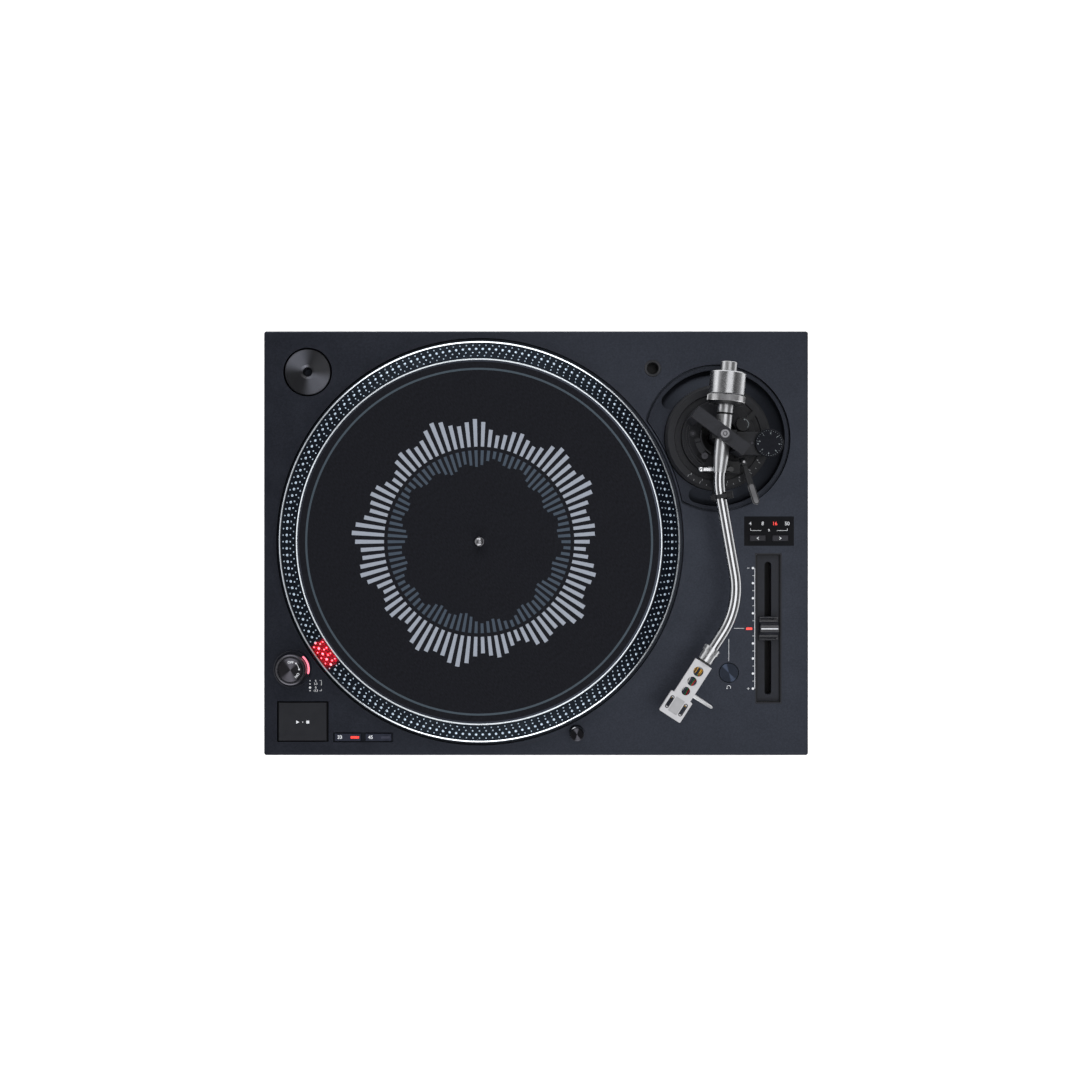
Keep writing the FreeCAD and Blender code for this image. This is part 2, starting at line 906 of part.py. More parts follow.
def make_platter():
    edge = platter_radius
    plate_under = platter_top_height - platter_plate
    outline = [(hub_bore_radius, platter_top_height), (band_inner_radius, platter_top_height),
               (band_outer_radius, platter_top_height - band_rise), (edge, platter_edge_height),
               (edge, platter_skirt_height), (edge - platter_skirt, platter_skirt_height),
               (edge - platter_skirt, platter_skirt_height + platter_skirt),
               (damping_outer_radius, plate_under), (magnet_outer_radius, plate_under),
               (magnet_outer_radius, magnet_height), (magnet_inner_radius, magnet_height),
               (magnet_inner_radius, plate_under), (hub_radius, plate_under), (hub_radius, hub_height),
               (hub_bore_radius, hub_height)]
    body = turned(platter_x, platter_y, [(radius, z(height)) for radius, height in outline])
    ribs = []
    for number in range(platter_rib_count):
        angle = number * 360 / platter_rib_count
        ribs.append(tapered_bar(polar(platter_x, platter_y, hub_radius - 1, angle),
                                polar(platter_x, platter_y, magnet_inner_radius + 1, angle),
                                platter_rib_width, platter_rib_width, z(magnet_height), z(plate_under + 1)))
    body = body.fuse(ribs)
    holes = [cylinder(platter_x + side * finger_hole_place, platter_y, z(plate_under - damping_thickness),
                      z(platter_top_height + cut_over), finger_hole_radius) for side in (-1, 1)]
    return body.cut(holes).removeSplitter()


def make_platter_damping():
    plate_under = platter_top_height - platter_plate
    body = tube(platter_x, platter_y, z(plate_under - damping_thickness), z(plate_under),
                damping_outer_radius, damping_inner_radius)
    low = z(plate_under - damping_thickness - cut_over)
    holes = [cylinder(platter_x + side * finger_hole_place, platter_y, low, z(platter_top_height),
                      finger_hole_radius + 1) for side in (-1, 1)]
    return body.cut(holes)


def make_rotor_magnet():
    return tube(platter_x, platter_y, z(magnet_height - magnet_thickness), z(magnet_height),
                magnet_outer_radius, magnet_inner_radius)


def make_spindle_shaft():
    bottom = pan_floor_height - bearing_depth + bearing_floor + seat_gap
    step = mat_top_height + spindle_shoulder
    top = mat_top_height + spindle_rise
    tip = [(spindle_radius * 0.87, top - spindle_tip * 0.4), (spindle_radius * 0.5, top - spindle_tip * 0.1)]
    outline = [(0, bottom), (spindle_radius, bottom), (hub_bore_radius, bottom + spindle_shoulder),
               (hub_bore_radius, step), (spindle_radius, step), (spindle_radius, top - spindle_tip)]
    outline += tip + [(0, top)]
    return turned(platter_x, platter_y, [(radius, z(height)) for radius, height in outline])


def make_bearing_housing():
    seat = z(pan_floor_height)
    bottom = z(pan_floor_height - bearing_depth)
    body = cylinder(platter_x, platter_y, bottom, z(bearing_nose_height), bearing_radius)
    body = body.fuse(cylinder(platter_x, platter_y, seat, seat + bearing_flange, bearing_flange_radius))
    bore = cylinder(platter_x, platter_y, bottom + bearing_floor, z(bearing_nose_height + cut_over),
                    hub_bore_radius + shaft_gap)
    return body.cut(bore).removeSplitter()


def make_motor_stator():
    floor = z(pan_floor_height)
    coil_top = z(magnet_height - magnet_thickness - magnet_air_gap)
    board = tube(platter_x, platter_y, floor, floor + stator_board, stator_radius, bearing_flange_radius)
    solids = [board]
    for number in range(coil_count):
        place = polar(platter_x, platter_y, coil_place, number * 360 / coil_count)
        solids.append(tube(place.x, place.y, floor + stator_board, coil_top, coil_radius, coil_hole_radius))
    return Part.makeCompound(solids)


def make_slipmat():
    bottom = z(platter_top_height + seat_gap)
    return tube(platter_x, platter_y, bottom, bottom + mat_thickness, mat_radius, mat_hole_radius)


def make_adaptor_45():
    bottom = z(-adaptor_height)
    edge = small_bevel
    outline = [(adaptor_hole_radius, bottom), (adaptor_radius - edge, bottom),
               (adaptor_radius, bottom + edge), (adaptor_radius, z(-edge)), (adaptor_radius - edge, z(0)),
               (adaptor_hole_radius + 2, z(adaptor_crown)), (adaptor_hole_radius, z(adaptor_crown - 1))]
    return turned(adaptor_x, adaptor_y, outline)


# Power knob and strobe


def make_strobe_housing():
    body = bevel_top(cylinder(tower_x, tower_y, plinth_z, z(tower_height), tower_radius), small_bevel)
    body = body.fuse(cylinder(tower_x, tower_y, z(-tower_stem_depth), plinth_z, tower_stem_radius))
    bore_low = z(tower_height - power_stem_length - slide_gap)
    bore = cylinder(tower_x, tower_y, bore_low, z(tower_height + cut_over), power_stem_radius + shaft_gap)
    return body.cut([bore, make_strobe_window()]).removeSplitter()


def make_strobe_window():
    return ring_stretch(tower_x, tower_y, z(tower_height - lens_depth), z(tower_height),
                        lens_radius + lens_width / 2, lens_radius - lens_width / 2, lens_start, lens_end)


def make_power_knob():
    bottom = tower_height + seat_gap
    shoulder = bottom + power_knob_height
    outline = [(0, tower_height - power_stem_length), (power_stem_radius, tower_height - power_stem_length),
               (power_stem_radius, bottom), (power_knob_radius, bottom),
               (power_knob_radius, shoulder - power_knob_bevel),
               (power_knob_radius - power_knob_bevel, shoulder), (power_cap_radius, shoulder),
               (power_cap_radius - small_bevel, shoulder + power_cap_height),
               (0, shoulder + power_cap_height)]
    return turned(tower_x, tower_y, [(radius, z(height)) for radius, height in outline])


# Buttons and their switches


def plunger_end(under):
    """Height of a plunger's lower end, from the underside of what it passes through."""
    return under - plunger_length


def start_under():
    return -start_recess_depth - pad_wall


def make_start_stop_button():
    low = z(-start_recess_depth + start_travel + slide_gap)
    skirt = z(start_top_height - start_bevel)
    length = start_recess_length - 2 * start_gap
    width = start_recess_width - 2 * start_gap
    clip_top = z(start_under() - slide_gap)
    body = block(start_x, start_y, low, skirt, length, width)
    cap = frustum(start_x, start_y, skirt, z(start_top_height), length, width, start_top_length,
                  start_top_width)
    plunger = block(start_x, start_y, z(plunger_end(start_under())), low, start_plunger, start_plunger)
    clip = block(start_x, start_y, clip_top - clip_thickness, clip_top, start_clip, start_clip)
    return body.fuse([cap, plunger, clip]).removeSplitter()


def make_speed_button(x):
    low = z(-speed_recess_depth + speed_travel + slide_gap)
    clip_top = z(deck_under - slide_gap)
    body = bevel_top(block(x, speed_y, low, z(speed_top_height), speed_length, speed_width), small_bevel)
    plunger = block(x, speed_y, z(plunger_end(deck_under)), low, speed_plunger, speed_plunger)
    clip = block(x, speed_y, clip_top - clip_thickness, clip_top, speed_clip, speed_clip)
    return body.fuse([plunger, clip]).removeSplitter()


def make_reset_button():
    clip_top = z(deck_under - slide_gap)
    low = clip_top - clip_thickness
    body = bevel_top(cylinder(reset_x, reset_y, low, z(reset_top_height), reset_radius), small_bevel)
    clip = cylinder(reset_x, reset_y, low, clip_top, reset_clip_radius)
    plunger = cylinder(reset_x, reset_y, z(plunger_end(deck_under)), clip_top, reset_plunger_radius)
    return body.fuse([clip, plunger]).removeSplitter()


def make_range_button(side):
    x = panel_x + side * range_offset_x
    y = panel_y + range_offset_y
    lip_top = z(-panel_thickness - slide_gap)
    low = lip_top - clip_thickness
    body = bevel_top(block(x, y, low, z(range_top_height), range_length, range_width), small_bevel)
    lip = block(x, y, low, lip_top, range_length + 2 * range_lip, range_width + 2 * range_lip)
    plunger = cylinder(x, y, z(plunger_end(deck_under)), lip_top, range_plunger_radius)
    return body.fuse([lip, plunger]).removeSplitter()


def start_board():
    """Board under the start and speed buttons: its box, its switches and its two hangers."""
    ends = [(start_x, start_y, plunger_end(start_under()) - start_travel - slide_gap),
            (speed_33_x, speed_y, plunger_end(deck_under) - speed_travel - slide_gap),
            (speed_45_x, speed_y, plunger_end(deck_under) - speed_travel - slide_gap)]
    left = start_x - switch_size / 2 - board_margin
    right = speed_45_x + switch_size / 2 + board_margin
    front = speed_y - switch_size / 2
    rear = start_y + switch_size / 2
    hanger_y = front + hanger_radius
    hangers = [(left + hanger_radius, hanger_y), (right - hanger_radius, hanger_y)]
    return left, right, front, rear, ends, hangers


def reset_board():
    """Board under the reset button, hung in front of it and behind it."""
    half = switch_size / 2 + board_margin
    front = reset_y - reset_clip_radius - 2 * hanger_radius - slide_gap
    rear = reset_y + reset_clip_radius + 2 * hanger_radius + slide_gap
    ends = [(reset_x, reset_y, plunger_end(deck_under) - reset_travel - slide_gap)]
    hangers = [(reset_x, front + hanger_radius), (reset_x, rear - hanger_radius)]
    return reset_x - half, reset_x + half, front, rear, ends, hangers


def range_board():
    """Board under the two pitch range buttons, hung behind them."""
    y = panel_y + range_offset_y
    end = plunger_end(deck_under) - range_travel - slide_gap
    left = panel_x - range_offset_x - switch_size / 2
    right = panel_x + range_offset_x + switch_size / 2
    rear = y + range_width / 2 + 2 * range_lip + 2 * hanger_radius + slide_gap
    ends = [(panel_x + side * range_offset_x, y, end) for side in (-1, 1)]
    hangers = [(left + hanger_radius, rear - hanger_radius), (right - hanger_radius, rear - hanger_radius)]
    return left, right, y - switch_size / 2, rear, ends, hangers


def board_top(ends):
    return min(end for x, y, end in ends) - switch_rise


def hanger_places():
    """Bosses under the deck that the switch boards are screwed to."""
    places = []
    for left, right, front, rear, ends, hangers in (start_board(), reset_board(), range_board()):
        places += [(x, y, z(board_top(ends))) for x, y in hangers]
    return places


def make_switch_boards():
    solids = []
    for left, right, front, rear, ends, hangers in (start_board(), reset_board(), range_board()):
        low = z(board_top(ends))
        corner = Vector(left, front, low - switch_board)
        solids.append(Part.makeBox(right - left, rear - front, switch_board, corner))
        solids += [block(x, y, low, z(end), switch_size, switch_size) for x, y, end in ends]
    return Part.makeCompound(solids)


def make_target_light():
    crown = light_rise - light_bevel
    outline = [(0, -light_grip), (light_radius, -light_grip), (light_radius, crown),
               (light_radius - light_bevel, light_rise), (0, light_rise)]
    return turned(light_x, light_y, [(radius, z(height)) for radius, height in outline])


def make_headshell_holder():
    low = -holder_bore_depth - holder_floor
    mouth = holder_rim - small_bevel
    outline = [(0, low), (holder_body_radius, low),
               (holder_body_radius, 0), (holder_radius, 0), (holder_radius, mouth),
               (holder_radius - small_bevel, holder_rim), (holder_bore_radius + small_bevel, holder_rim),
               (holder_bore_radius, mouth),
               (holder_bore_radius, -holder_bore_depth), (0, -holder_bore_depth)]
    return turned(holder_x, holder_y, [(radius, z(height)) for radius, height in outline])


# Pitch control


def make_range_panel():
    low = z(-panel_thickness)
    y = panel_y + range_offset_y
    body = block(panel_x, panel_y, low, plinth_z, panel_length, panel_width)
    holes = [block(panel_x + side * range_offset_x, y, low - cut_over, z(cut_over),
                   range_length + 2 * slide_gap, range_width + 2 * slide_gap) for side in (-1, 1)]
    return body.cut(holes)


def fader_slot(low, high):
    half = Vector(0, (fader_slot_length - fader_slot_width) / 2, 0)
    centre = Vector(fader_x, fader_y, 0)
    return stadium(centre - half, centre + half, fader_slot_width / 2, low, high)


def make_fader_tray():
    flange_z = z(deck_under - tray_flange_thickness)
    length = tray_length + 2 * tray_rim
    width = tray_width + 2 * tray_rim
    body = block(fader_x, fader_y, flange_z, plinth_z, width, length)
    body = body.fuse(block(fader_x, fader_y, flange_z, z(deck_under), width + 2 * tray_flange,
                           length + 2 * tray_flange))
    recess = block(fader_x, fader_y, z(-tray_depth), z(cut_over), tray_width, tray_length)
    return body.cut([recess, fader_slot(flange_z - cut_over, plinth_z)]).removeSplitter()


def make_fader_unit():
    top = z(deck_under - tray_flange_thickness)
    low = top - fader_unit_height
    length = fader_slot_length + 2 * fader_unit_margin
    body = block(fader_x, fader_y, low, top, fader_unit_width, length)
    channel = block(fader_x, fader_y, low + fader_unit_wall, top - fader_unit_wall,
                    fader_unit_width - 2 * fader_unit_wall, length - 2 * fader_unit_wall)
    return body.cut([channel, fader_slot(low + fader_unit_wall, top + cut_over)]).removeSplitter()


def make_pitch_knob():
    low = -tray_depth + slide_gap
    shoulder = low + knob_plinth
    peak = shoulder + knob_ridge_rise
    half = knob_length / 2
    side = [(-half, low), (half, low), (half, shoulder), (knob_ridge_length / 2, shoulder - 0.6),
            (knob_ridge_top / 2, peak), (-knob_ridge_top / 2, peak), (-knob_ridge_length / 2, shoulder - 0.6),
            (-half, shoulder)]
    points = [Vector(fader_x - knob_width / 2, fader_y + place, z(height)) for place, height in side]
    cap = Part.Face(Part.makePolygon(points + points[:1])).extrude(Vector(knob_width, 0, 0))
    carriage_top = z(deck_under - tray_flange_thickness - fader_unit_wall - slide_gap)
    stem = block(fader_x, fader_y, carriage_top, z(low), knob_stem_width, knob_stem_length)
    carriage = block(fader_x, fader_y, carriage_top - carriage_height, carriage_top, carriage_size,
                     carriage_size)
    return cap.fuse([stem, carriage]).removeSplitter()


# Arm base


def make_arm_base_plate():
    low = z(-pocket_depth)
    top = z(plate_rise)
    body = bevel_top(cylinder(arm_x, arm_y, low, top, plate_radius), small_bevel)
    moat = ring_stretch(arm_x, arm_y, low + moat_floor, top + cut_over, moat_outer_radius, ring_outer_radius,
                        moat_start, moat_end)
    floor = [(0, low), (moat_outer_radius, low), (moat_outer_radius, low + moat_floor),
             (ring_outer_radius, low + moat_floor + moat_ramp), (0, low + moat_floor + moat_ramp)]
    moat = moat.cut(turned(arm_x, arm_y, floor))
    return body.cut([
        cylinder(platter_x, platter_y, low, top, well_radius + well_web + plate_well_gap),
        cylinder(arm_x, arm_y, low, top, ring_outer_radius + slide_gap), moat]).removeSplitter()


def make_height_ring():
    bore = stage_radius + slide_gap
    outline = [(bore, -pocket_depth + seat_gap), (ring_outer_radius, -pocket_depth + seat_gap),
               (ring_outer_radius, ring_wall_height), (ring_face_outer, ring_top_height),
               (ring_face_inner, ring_top_height),
               (ring_face_inner - small_bevel, ring_top_height - ring_step),
               (bore, ring_top_height - ring_step)]
    return turned(arm_x, arm_y, [(radius, z(height)) for radius, height in outline])


def gimbal_post_top():
    return z(arm_height) - yoke_half_height() - slide_gap


def make_arm_base():
    low = z(-stage_depth)
    top = z(stage_top_height)
    body = cylinder(arm_x, arm_y, low, top, stage_radius)
    room = cylinder(arm_x, arm_y, low + stage_floor, top - stage_plate, stage_radius - stage_wall)
    well = cylinder(arm_x, arm_y, top - stage_plate - cut_over, top + cut_over, stage_well_radius)
    pit = polar(arm_x, arm_y, pit_place, pit_angle)
    cuts = [room, well, cylinder(pit.x, pit.y, top - pit_depth, top + cut_over, pit_radius),
            cylinder(lock_x, lock_y, top - stage_plate, top + cut_over, lock_stem_radius + shaft_gap)]
    body = bevel_top(body, small_bevel).cut(cuts)
    post = cylinder(arm_x, arm_y, low, gimbal_post_top(), gimbal_post_radius)
    bore = cylinder(arm_x, arm_y, gimbal_post_top() - lower_pivot_length, gimbal_post_top() + cut_over,
                    lower_pivot_radius + shaft_gap)
    return body.fuse(post).cut(bore).removeSplitter()


def yoke_half_height():
    return housing_radius + yoke_gap + yoke_wall


def bridge_under():
    return z(arm_height) + yoke_half_height() + slide_gap


def bridge_point(reach, turned_half=0):
    return polar(arm_x, arm_y, reach, bridge_angle + turned_half)


def bridge_foot_post(outer_reach, turned_half, width, high):
    """One of the bridge's two legs, standing on the arm base."""
    start = bridge_point(outer_reach - bridge_foot, turned_half)
    return tapered_bar(start, bridge_point(outer_reach, turned_half), width, width, z(stage_top_height), high)


def make_gimbal_bridge():
    under = bridge_under()
    top = under + bridge_thickness
    centre = Vector(arm_x, arm_y, 0)
    rear_bar = tapered_bar(centre, bridge_point(bridge_rear_reach), bridge_width, bridge_width, under, top)
    front_bar = tapered_bar(centre, bridge_point(bridge_front_reach, 180), bridge_width, bridge_width, under,
                            top - bridge_step)
    boss = cylinder(arm_x, arm_y, under, top + bridge_boss_rise, bridge_boss_radius)
    body = rear_bar.fuse([front_bar, boss, bridge_foot_post(bridge_rear_reach, 0, bridge_width, under),
                          bridge_foot_post(bridge_front_reach, 180, bridge_width, under)])
    hole = cylinder(arm_x, arm_y, under - cut_over, top + bridge_boss_rise + cut_over, bridge_screw_radius)
    return body.cut(hole).removeSplitter()


def make_bridge_screw():
    under = bridge_under()
    top = under + bridge_thickness + bridge_boss_rise + bridge_screw_rise
    body = bevel_top(cylinder(arm_x, arm_y, under, top, bridge_screw_radius), small_bevel)
    tip_z = under - slide_gap - pivot_bite + shaft_gap
    tip = cylinder(arm_x, arm_y, tip_z, under, pivot_radius)
    socket = cylinder(arm_x, arm_y, top - bridge_screw_rise, top + cut_over, bridge_screw_radius / 2)
    return body.fuse(tip).cut(socket).removeSplitter()


def across_arm(offset):
    """Place at the pivot's height, moved along the pitch axis."""
    return pivot + pitch_dir * offset


def make_gimbal_yoke():
    inner = housing_radius + yoke_gap
    outer = yoke_half_height()
    frame = block(0, 0, -outer, outer, 2 * outer, yoke_length)
    frame = frame.cut(block(0, 0, -inner, inner, 2 * inner, yoke_length))
    frame = frame.fuse(cylinder(0, 0, -outer - lower_pivot_length + slide_gap, -outer, lower_pivot_radius))
    frame.rotate(Vector(), UP, -arm_angle)
    frame.translate(pivot)
    top = pivot.z + outer
    cup = cylinder(arm_x, arm_y, top - pivot_bite, top + cut_over, pivot_radius + shaft_gap)
    bores = rod(across_arm(-outer - cut_over), across_arm(outer + cut_over), pivot_radius + shaft_gap)
    return frame.cut([cup, bores]).removeSplitter()


# Tonearm


def make_arm_housing():
    front = -housing_front
    outline = [(front, housing_bore_radius), (front, housing_front_radius),
               (front + housing_cone, housing_step_radius), (front + housing_cone, housing_radius),
               (housing_rear, housing_radius), (housing_rear, housing_bore_radius)]
    body = turned_along(pivot, rear_dir, outline)
    half = yoke_half_height() - shaft_gap
    trunnions = [rod(across_arm(side * (housing_bore_radius + 1)), across_arm(side * half), pivot_radius)
                 for side in (-1, 1)]
    mouth = pivot + arm_dir * (housing_front + cut_over)
    seat = rod(mouth, pivot + arm_dir * (housing_front - pipe_grip), pipe_radius)
    return body.fuse(trunnions).cut(seat).removeSplitter()


def bend(before, corner, after, radius):
    """Arc that rounds one corner of the pipe's path."""
    incoming = (corner - before).normalize()
    outgoing = (after - corner).normalize()
    tangent = radius * math.tan(incoming.getAngle(outgoing) / 2)
    inward = (outgoing - incoming).normalize()
    start = corner - incoming * tangent
    end = corner + outgoing * tangent
    middle = corner + inward * (math.hypot(radius, tangent) - radius)
    return start, Part.Arc(start, middle, end).toShape(), end


def pipe_path():
    start = pivot + arm_dir * (housing_front - pipe_grip)
    end = front_corner + shell_dir * front_run
    rear_start, rear_arc, rear_end = bend(start, rear_corner, front_corner, rear_bend_radius)
    front_start, front_arc, front_end = bend(rear_corner, front_corner, end, front_bend_radius)
    return Part.Wire([Part.LineSegment(start, rear_start).toShape(), rear_arc,
                      Part.LineSegment(rear_end, front_start).toShape(), front_arc,
                      Part.LineSegment(front_end, end).toShape()])


def pipe(radius):
    start = pivot + arm_dir * (housing_front - pipe_grip)
    section = Part.Wire(Part.makeCircle(radius, start, arm_dir))
    return pipe_path().makePipeShell([section], True, False)


def make_arm_tube():
    socket_end = front_run + socket_length
    bore = plug_radius + shaft_gap
    bore_floor = socket_end - socket_bore_depth
    outline = [(front_run, 0), (front_run, socket_radius), (socket_end, socket_radius), (socket_end, bore),
               (bore_floor, bore), (bore_floor, 0)]
    hollow = pipe(pipe_radius).cut(pipe(pipe_radius - pipe_wall))
    return hollow.fuse(turned_along(front_corner, shell_dir, outline)).removeSplitter()


def make_balance_shaft():
    ring_start = housing_rear + break_length
    ring_end = ring_start + collar_ring_length
    outline = [(housing_rear, 0), (housing_rear, break_radius), (ring_start, break_radius),
               (ring_start, collar_ring_radius), (ring_end, collar_ring_radius), (ring_end, shaft_radius),
               (shaft_end - small_bevel, shaft_radius), (shaft_end, shaft_radius - small_bevel),
               (shaft_end, 0)]
    return turned_along(pivot, rear_dir, outline)


def bush_radius():
    return shaft_radius + shaft_gap + bush_wall


def weight_start():
    return dial_start + dial_length + seat_gap


def make_counterweight_bush():
    start = dial_start + weight_edge
    end = weight_start() + weight_length - weight_edge
    inner = shaft_radius + shaft_gap
    outline = [(start, inner), (start, bush_radius()), (end, bush_radius()), (end, inner)]
    return turned_along(pivot, rear_dir, outline)


def make_counterweight():
    start = weight_start()
    end = start + weight_length
    inner = bush_radius() + shaft_gap
    hub = inner + weight_hub_wall
    rim = weight_radius - weight_rim
    outline = [(start, inner), (start, weight_radius - weight_edge), (start + weight_edge, weight_radius),
               (end - weight_edge, weight_radius), (end, weight_radius - weight_edge), (end, rim),
               (end - weight_recess, rim), (end - weight_recess, hub), (end, hub), (end, inner)]
    return turned_along(pivot, rear_dir, outline)


def make_force_dial():
    end = dial_start + dial_length
    inner = bush_radius() + shaft_gap
    outline = [(dial_start, inner), (dial_start, dial_radius - weight_edge),
               (dial_start + weight_edge, dial_radius), (end - weight_edge, dial_radius),
               (end, dial_radius - weight_edge), (end, inner)]
    return turned_along(pivot, rear_dir, outline)


def make_locking_collar():
    end = collar_start + collar_length
    bore = socket_radius + slide_gap
    mouth = plug_radius + slide_gap
    knurl_end = collar_start + knurl_length
    outline = [(collar_start, bore), (collar_start, knurl_radius), (knurl_end, knurl_radius),
               (knurl_end, collar_radius), (end, collar_radius), (end, mouth), (end - collar_lip, mouth),
               (end - collar_lip, bore)]
    return turned_along(front_corner, shell_dir, outline)


# Headshell, modelled along +X and then turned to its place


def to_shell(body):
    body.rotate(Vector(), UP, -90 - shell_angle)
    body.translate(front_corner)
    return body


def make_headshell():
    low = shell_top - shell_plate
    end = shell_start + shell_length
    neck_length = shell_block_start - shell_start
    body = block(shell_start + neck_length / 2, 0, low, shell_top, neck_length, shell_neck_width)
    block_length = end - shell_block_start
    front = rounded_block(shell_block_start + block_length / 2, 0, shell_top - shell_block_plate, shell_top,
                          block_length, shell_block_width, shell_corner_radius)
    root = block(shell_start + shell_root / 2, 0, -shell_root_drop, shell_top, shell_root, shell_root_width)
    washer = turned_along(Vector(shell_start - washer_length, 0, 0), Vector(1, 0, 0),
                          [(0, 0), (0, washer_radius), (washer_length, washer_radius), (washer_length, 0)])
    plug = rod(Vector(shell_start - plug_length, 0, 0), Vector(shell_start + 1, 0, 0), plug_radius)
    body = body.fuse([front, root, washer, plug])
    cuts = [cylinder(shell_hole_first + number * shell_hole_step, 0, low - cut_over, shell_top + cut_over,
                     shell_hole_radius - number * shell_hole_shrink) for number in range(3)]
    half = (slot_length - slot_width) / 2
    for side in (-slot_spacing / 2, slot_spacing / 2):
        start = Vector(slot_place - half, side, 0)
        finish = Vector(slot_place + half, side, 0)
        cuts.append(stadium(start, finish, slot_width / 2, shell_top - shell_block_plate - cut_over,
                            shell_top + cut_over))
    cuts.append(block(slot_place, 0, shell_top - shell_dip_depth, shell_top + cut_over, shell_dip_length,
                      shell_dip_width))
    return to_shell(body.cut(cuts).removeSplitter())


def make_finger_lift():
    """Bent strip: flat beside the shell, then curling up towards its tip."""
    side = shell_neck_width / 2
    bend_at = side + finger_reach * 0.7
    low = shell_top - finger_thickness
    root = Vector(finger_place, side, 0)
    knee = Vector(finger_place, bend_at, 0)
    middle_width = finger_root_width + (finger_tip_width - finger_root_width) * 0.7
    flat = tapered_bar(root, knee, finger_root_width, middle_width, low, low + finger_thickness)
    tip_y = side + finger_reach
    profile = [Vector(finger_place - finger_tip_width / 2, bend_at, low),
               Vector(finger_place - finger_tip_width / 2, bend_at, low + finger_thickness),
               Vector(finger_place - finger_tip_width / 2, tip_y, low + finger_thickness + finger_curl),
               Vector(finger_place - finger_tip_width / 2, tip_y, low + finger_curl)]
    tip = Part.Face(Part.makePolygon(profile + profile[:1])).extrude(Vector(finger_tip_width, 0, 0))
    return to_shell(flat.fuse(tip).removeSplitter())


def make_shell_leads():
    """Contact pins behind the first hole, and a short lead from each to the shell's front block."""
    under = shell_top - shell_plate
    start = shell_start + shell_root
    solids = []
    for number in range(lead_count):
        side = (number - (lead_count - 1) / 2) * lead_spacing
        rise = under - pin_radius - slide_gap
        pin_end = start + pin_length
        pin = rod(Vector(start, side, rise), Vector(pin_end, side, rise), pin_radius)
        lead = rod(Vector(pin_end, side, rise), Vector(shell_block_start, side, rise), lead_radius)
        solids.append(to_shell(pin.fuse(lead)))
    return Part.makeCompound(solids)


# Arm rest, lifter and dials on the arm base


def rest_centre():
    """Where the pipe crosses the arm rest, in plan."""
    return Vector(arm_x, arm_y, 0) + arm_dir * rear_run + middle_dir * (rest_place - rear_run)


def across_rest(x, height, half_length, radius):
    """Rod along the pipe's direction, beside it at the rest, before it is turned to its place."""
    return rod(Vector(x, -half_length, height), Vector(x, half_length, height), radius)


def to_rest(body):
    """Turn a body modelled about the origin, with the pipe along Y, to its place on the pipe."""
    body.rotate(Vector(), UP, -middle_angle)
    body.translate(rest_centre())
    return body


def clamp_under():
    """Underside of the closed clamp, clear of the pipe at the top of its lift."""
    lift = rest_place * math.tan(math.radians(lift_limit_deg))
    return z(arm_height) + pipe_radius + lift + slide_gap


def clamp_pin_z():
    return clamp_under() + clamp_band / 2


def rest_wall_x():
    """Middle of the rest's wall, beside the pipe."""
    return pipe_radius + rest_side_gap + rest_wall / 2


def make_arm_rest():
    low = z(stage_top_height)
    centre = rest_centre()
    arm_start = Vector(arm_x, arm_y - stage_well_radius - 1, 0)
    outrigger = tapered_bar(arm_start, centre, rest_reach_width, rest_reach_width, low,
                            low + rest_arm_thickness)
    wall_x = rest_wall_x()
    pin_z = clamp_pin_z()
    saddle_top = z(arm_height) - pipe_radius - slide_gap
    saddle_low = saddle_top - rest_saddle_thickness
    saddle_x = wall_x + rest_wall / 2 - rest_saddle_width / 2
    post = block(0, 0, low, saddle_top, rest_reach_width, rest_length)
    saddle = block(saddle_x, 0, saddle_low, saddle_top, rest_saddle_width, rest_length)
    wall = block(wall_x, 0, saddle_low, pin_z, rest_wall, rest_length)
    ears = across_rest(wall_x, pin_z, rest_length / 2, clamp_lobe_radius)
    slot = block(wall_x, 0, pin_z - clamp_lobe_radius - slide_gap, pin_z + clamp_lobe_radius + cut_over,
                 2 * clamp_lobe_radius + cut_over, clamp_band_width + 2 * slide_gap)
    hole = across_rest(wall_x, pin_z, rest_length, clamp_pin_radius + shaft_gap)
    head = to_rest(post.fuse([saddle, wall, ears]).cut([slot, hole]))
    return head.fuse(outrigger).removeSplitter()


def make_arm_clamp():
    pin_x = rest_wall_x()
    pin_z = clamp_pin_z()
    tab_x = pin_x - clamp_span
    hub = across_rest(pin_x, pin_z, clamp_band_width / 2, clamp_lobe_radius)
    pin = across_rest(pin_x, pin_z, rest_length / 2, clamp_pin_radius)
    band = block((pin_x + tab_x) / 2, 0, clamp_under(), clamp_under() + clamp_band, clamp_span,
                 clamp_band_width)
    tab = across_rest(tab_x, pin_z, clamp_band_width / 2, clamp_lobe_radius)
    return to_rest(band.fuse([hub, pin, tab]).removeSplitter())


def lift_rod_z():
    """Height of the lift bar's axis at rest, one lift below the arm."""
    return z(arm_height) - housing_step_radius - lift_travel - lift_rod_radius


def lifter_top():
    return lift_rod_z() - lift_rod_radius - lift_rod_clearance


def make_lifter_housing():
    body = block(lifter_x, lifter_y, z(stage_top_height), lifter_top(), lifter_length, lifter_width)
    body = bevel_top(body, small_bevel)
    bore = cylinder(lift_plunger_x, lift_rod_y, lifter_top() - lift_plunger_length - slide_gap,
                    lifter_top() + cut_over, lift_rod_radius + shaft_gap)
    axle = rod(lever_place(lever_shaft_length + 2 + slide_gap), lever_place(-lever_hub_length),
               lever_shaft_radius + shaft_gap)
    return body.cut([bore, axle]).removeSplitter()


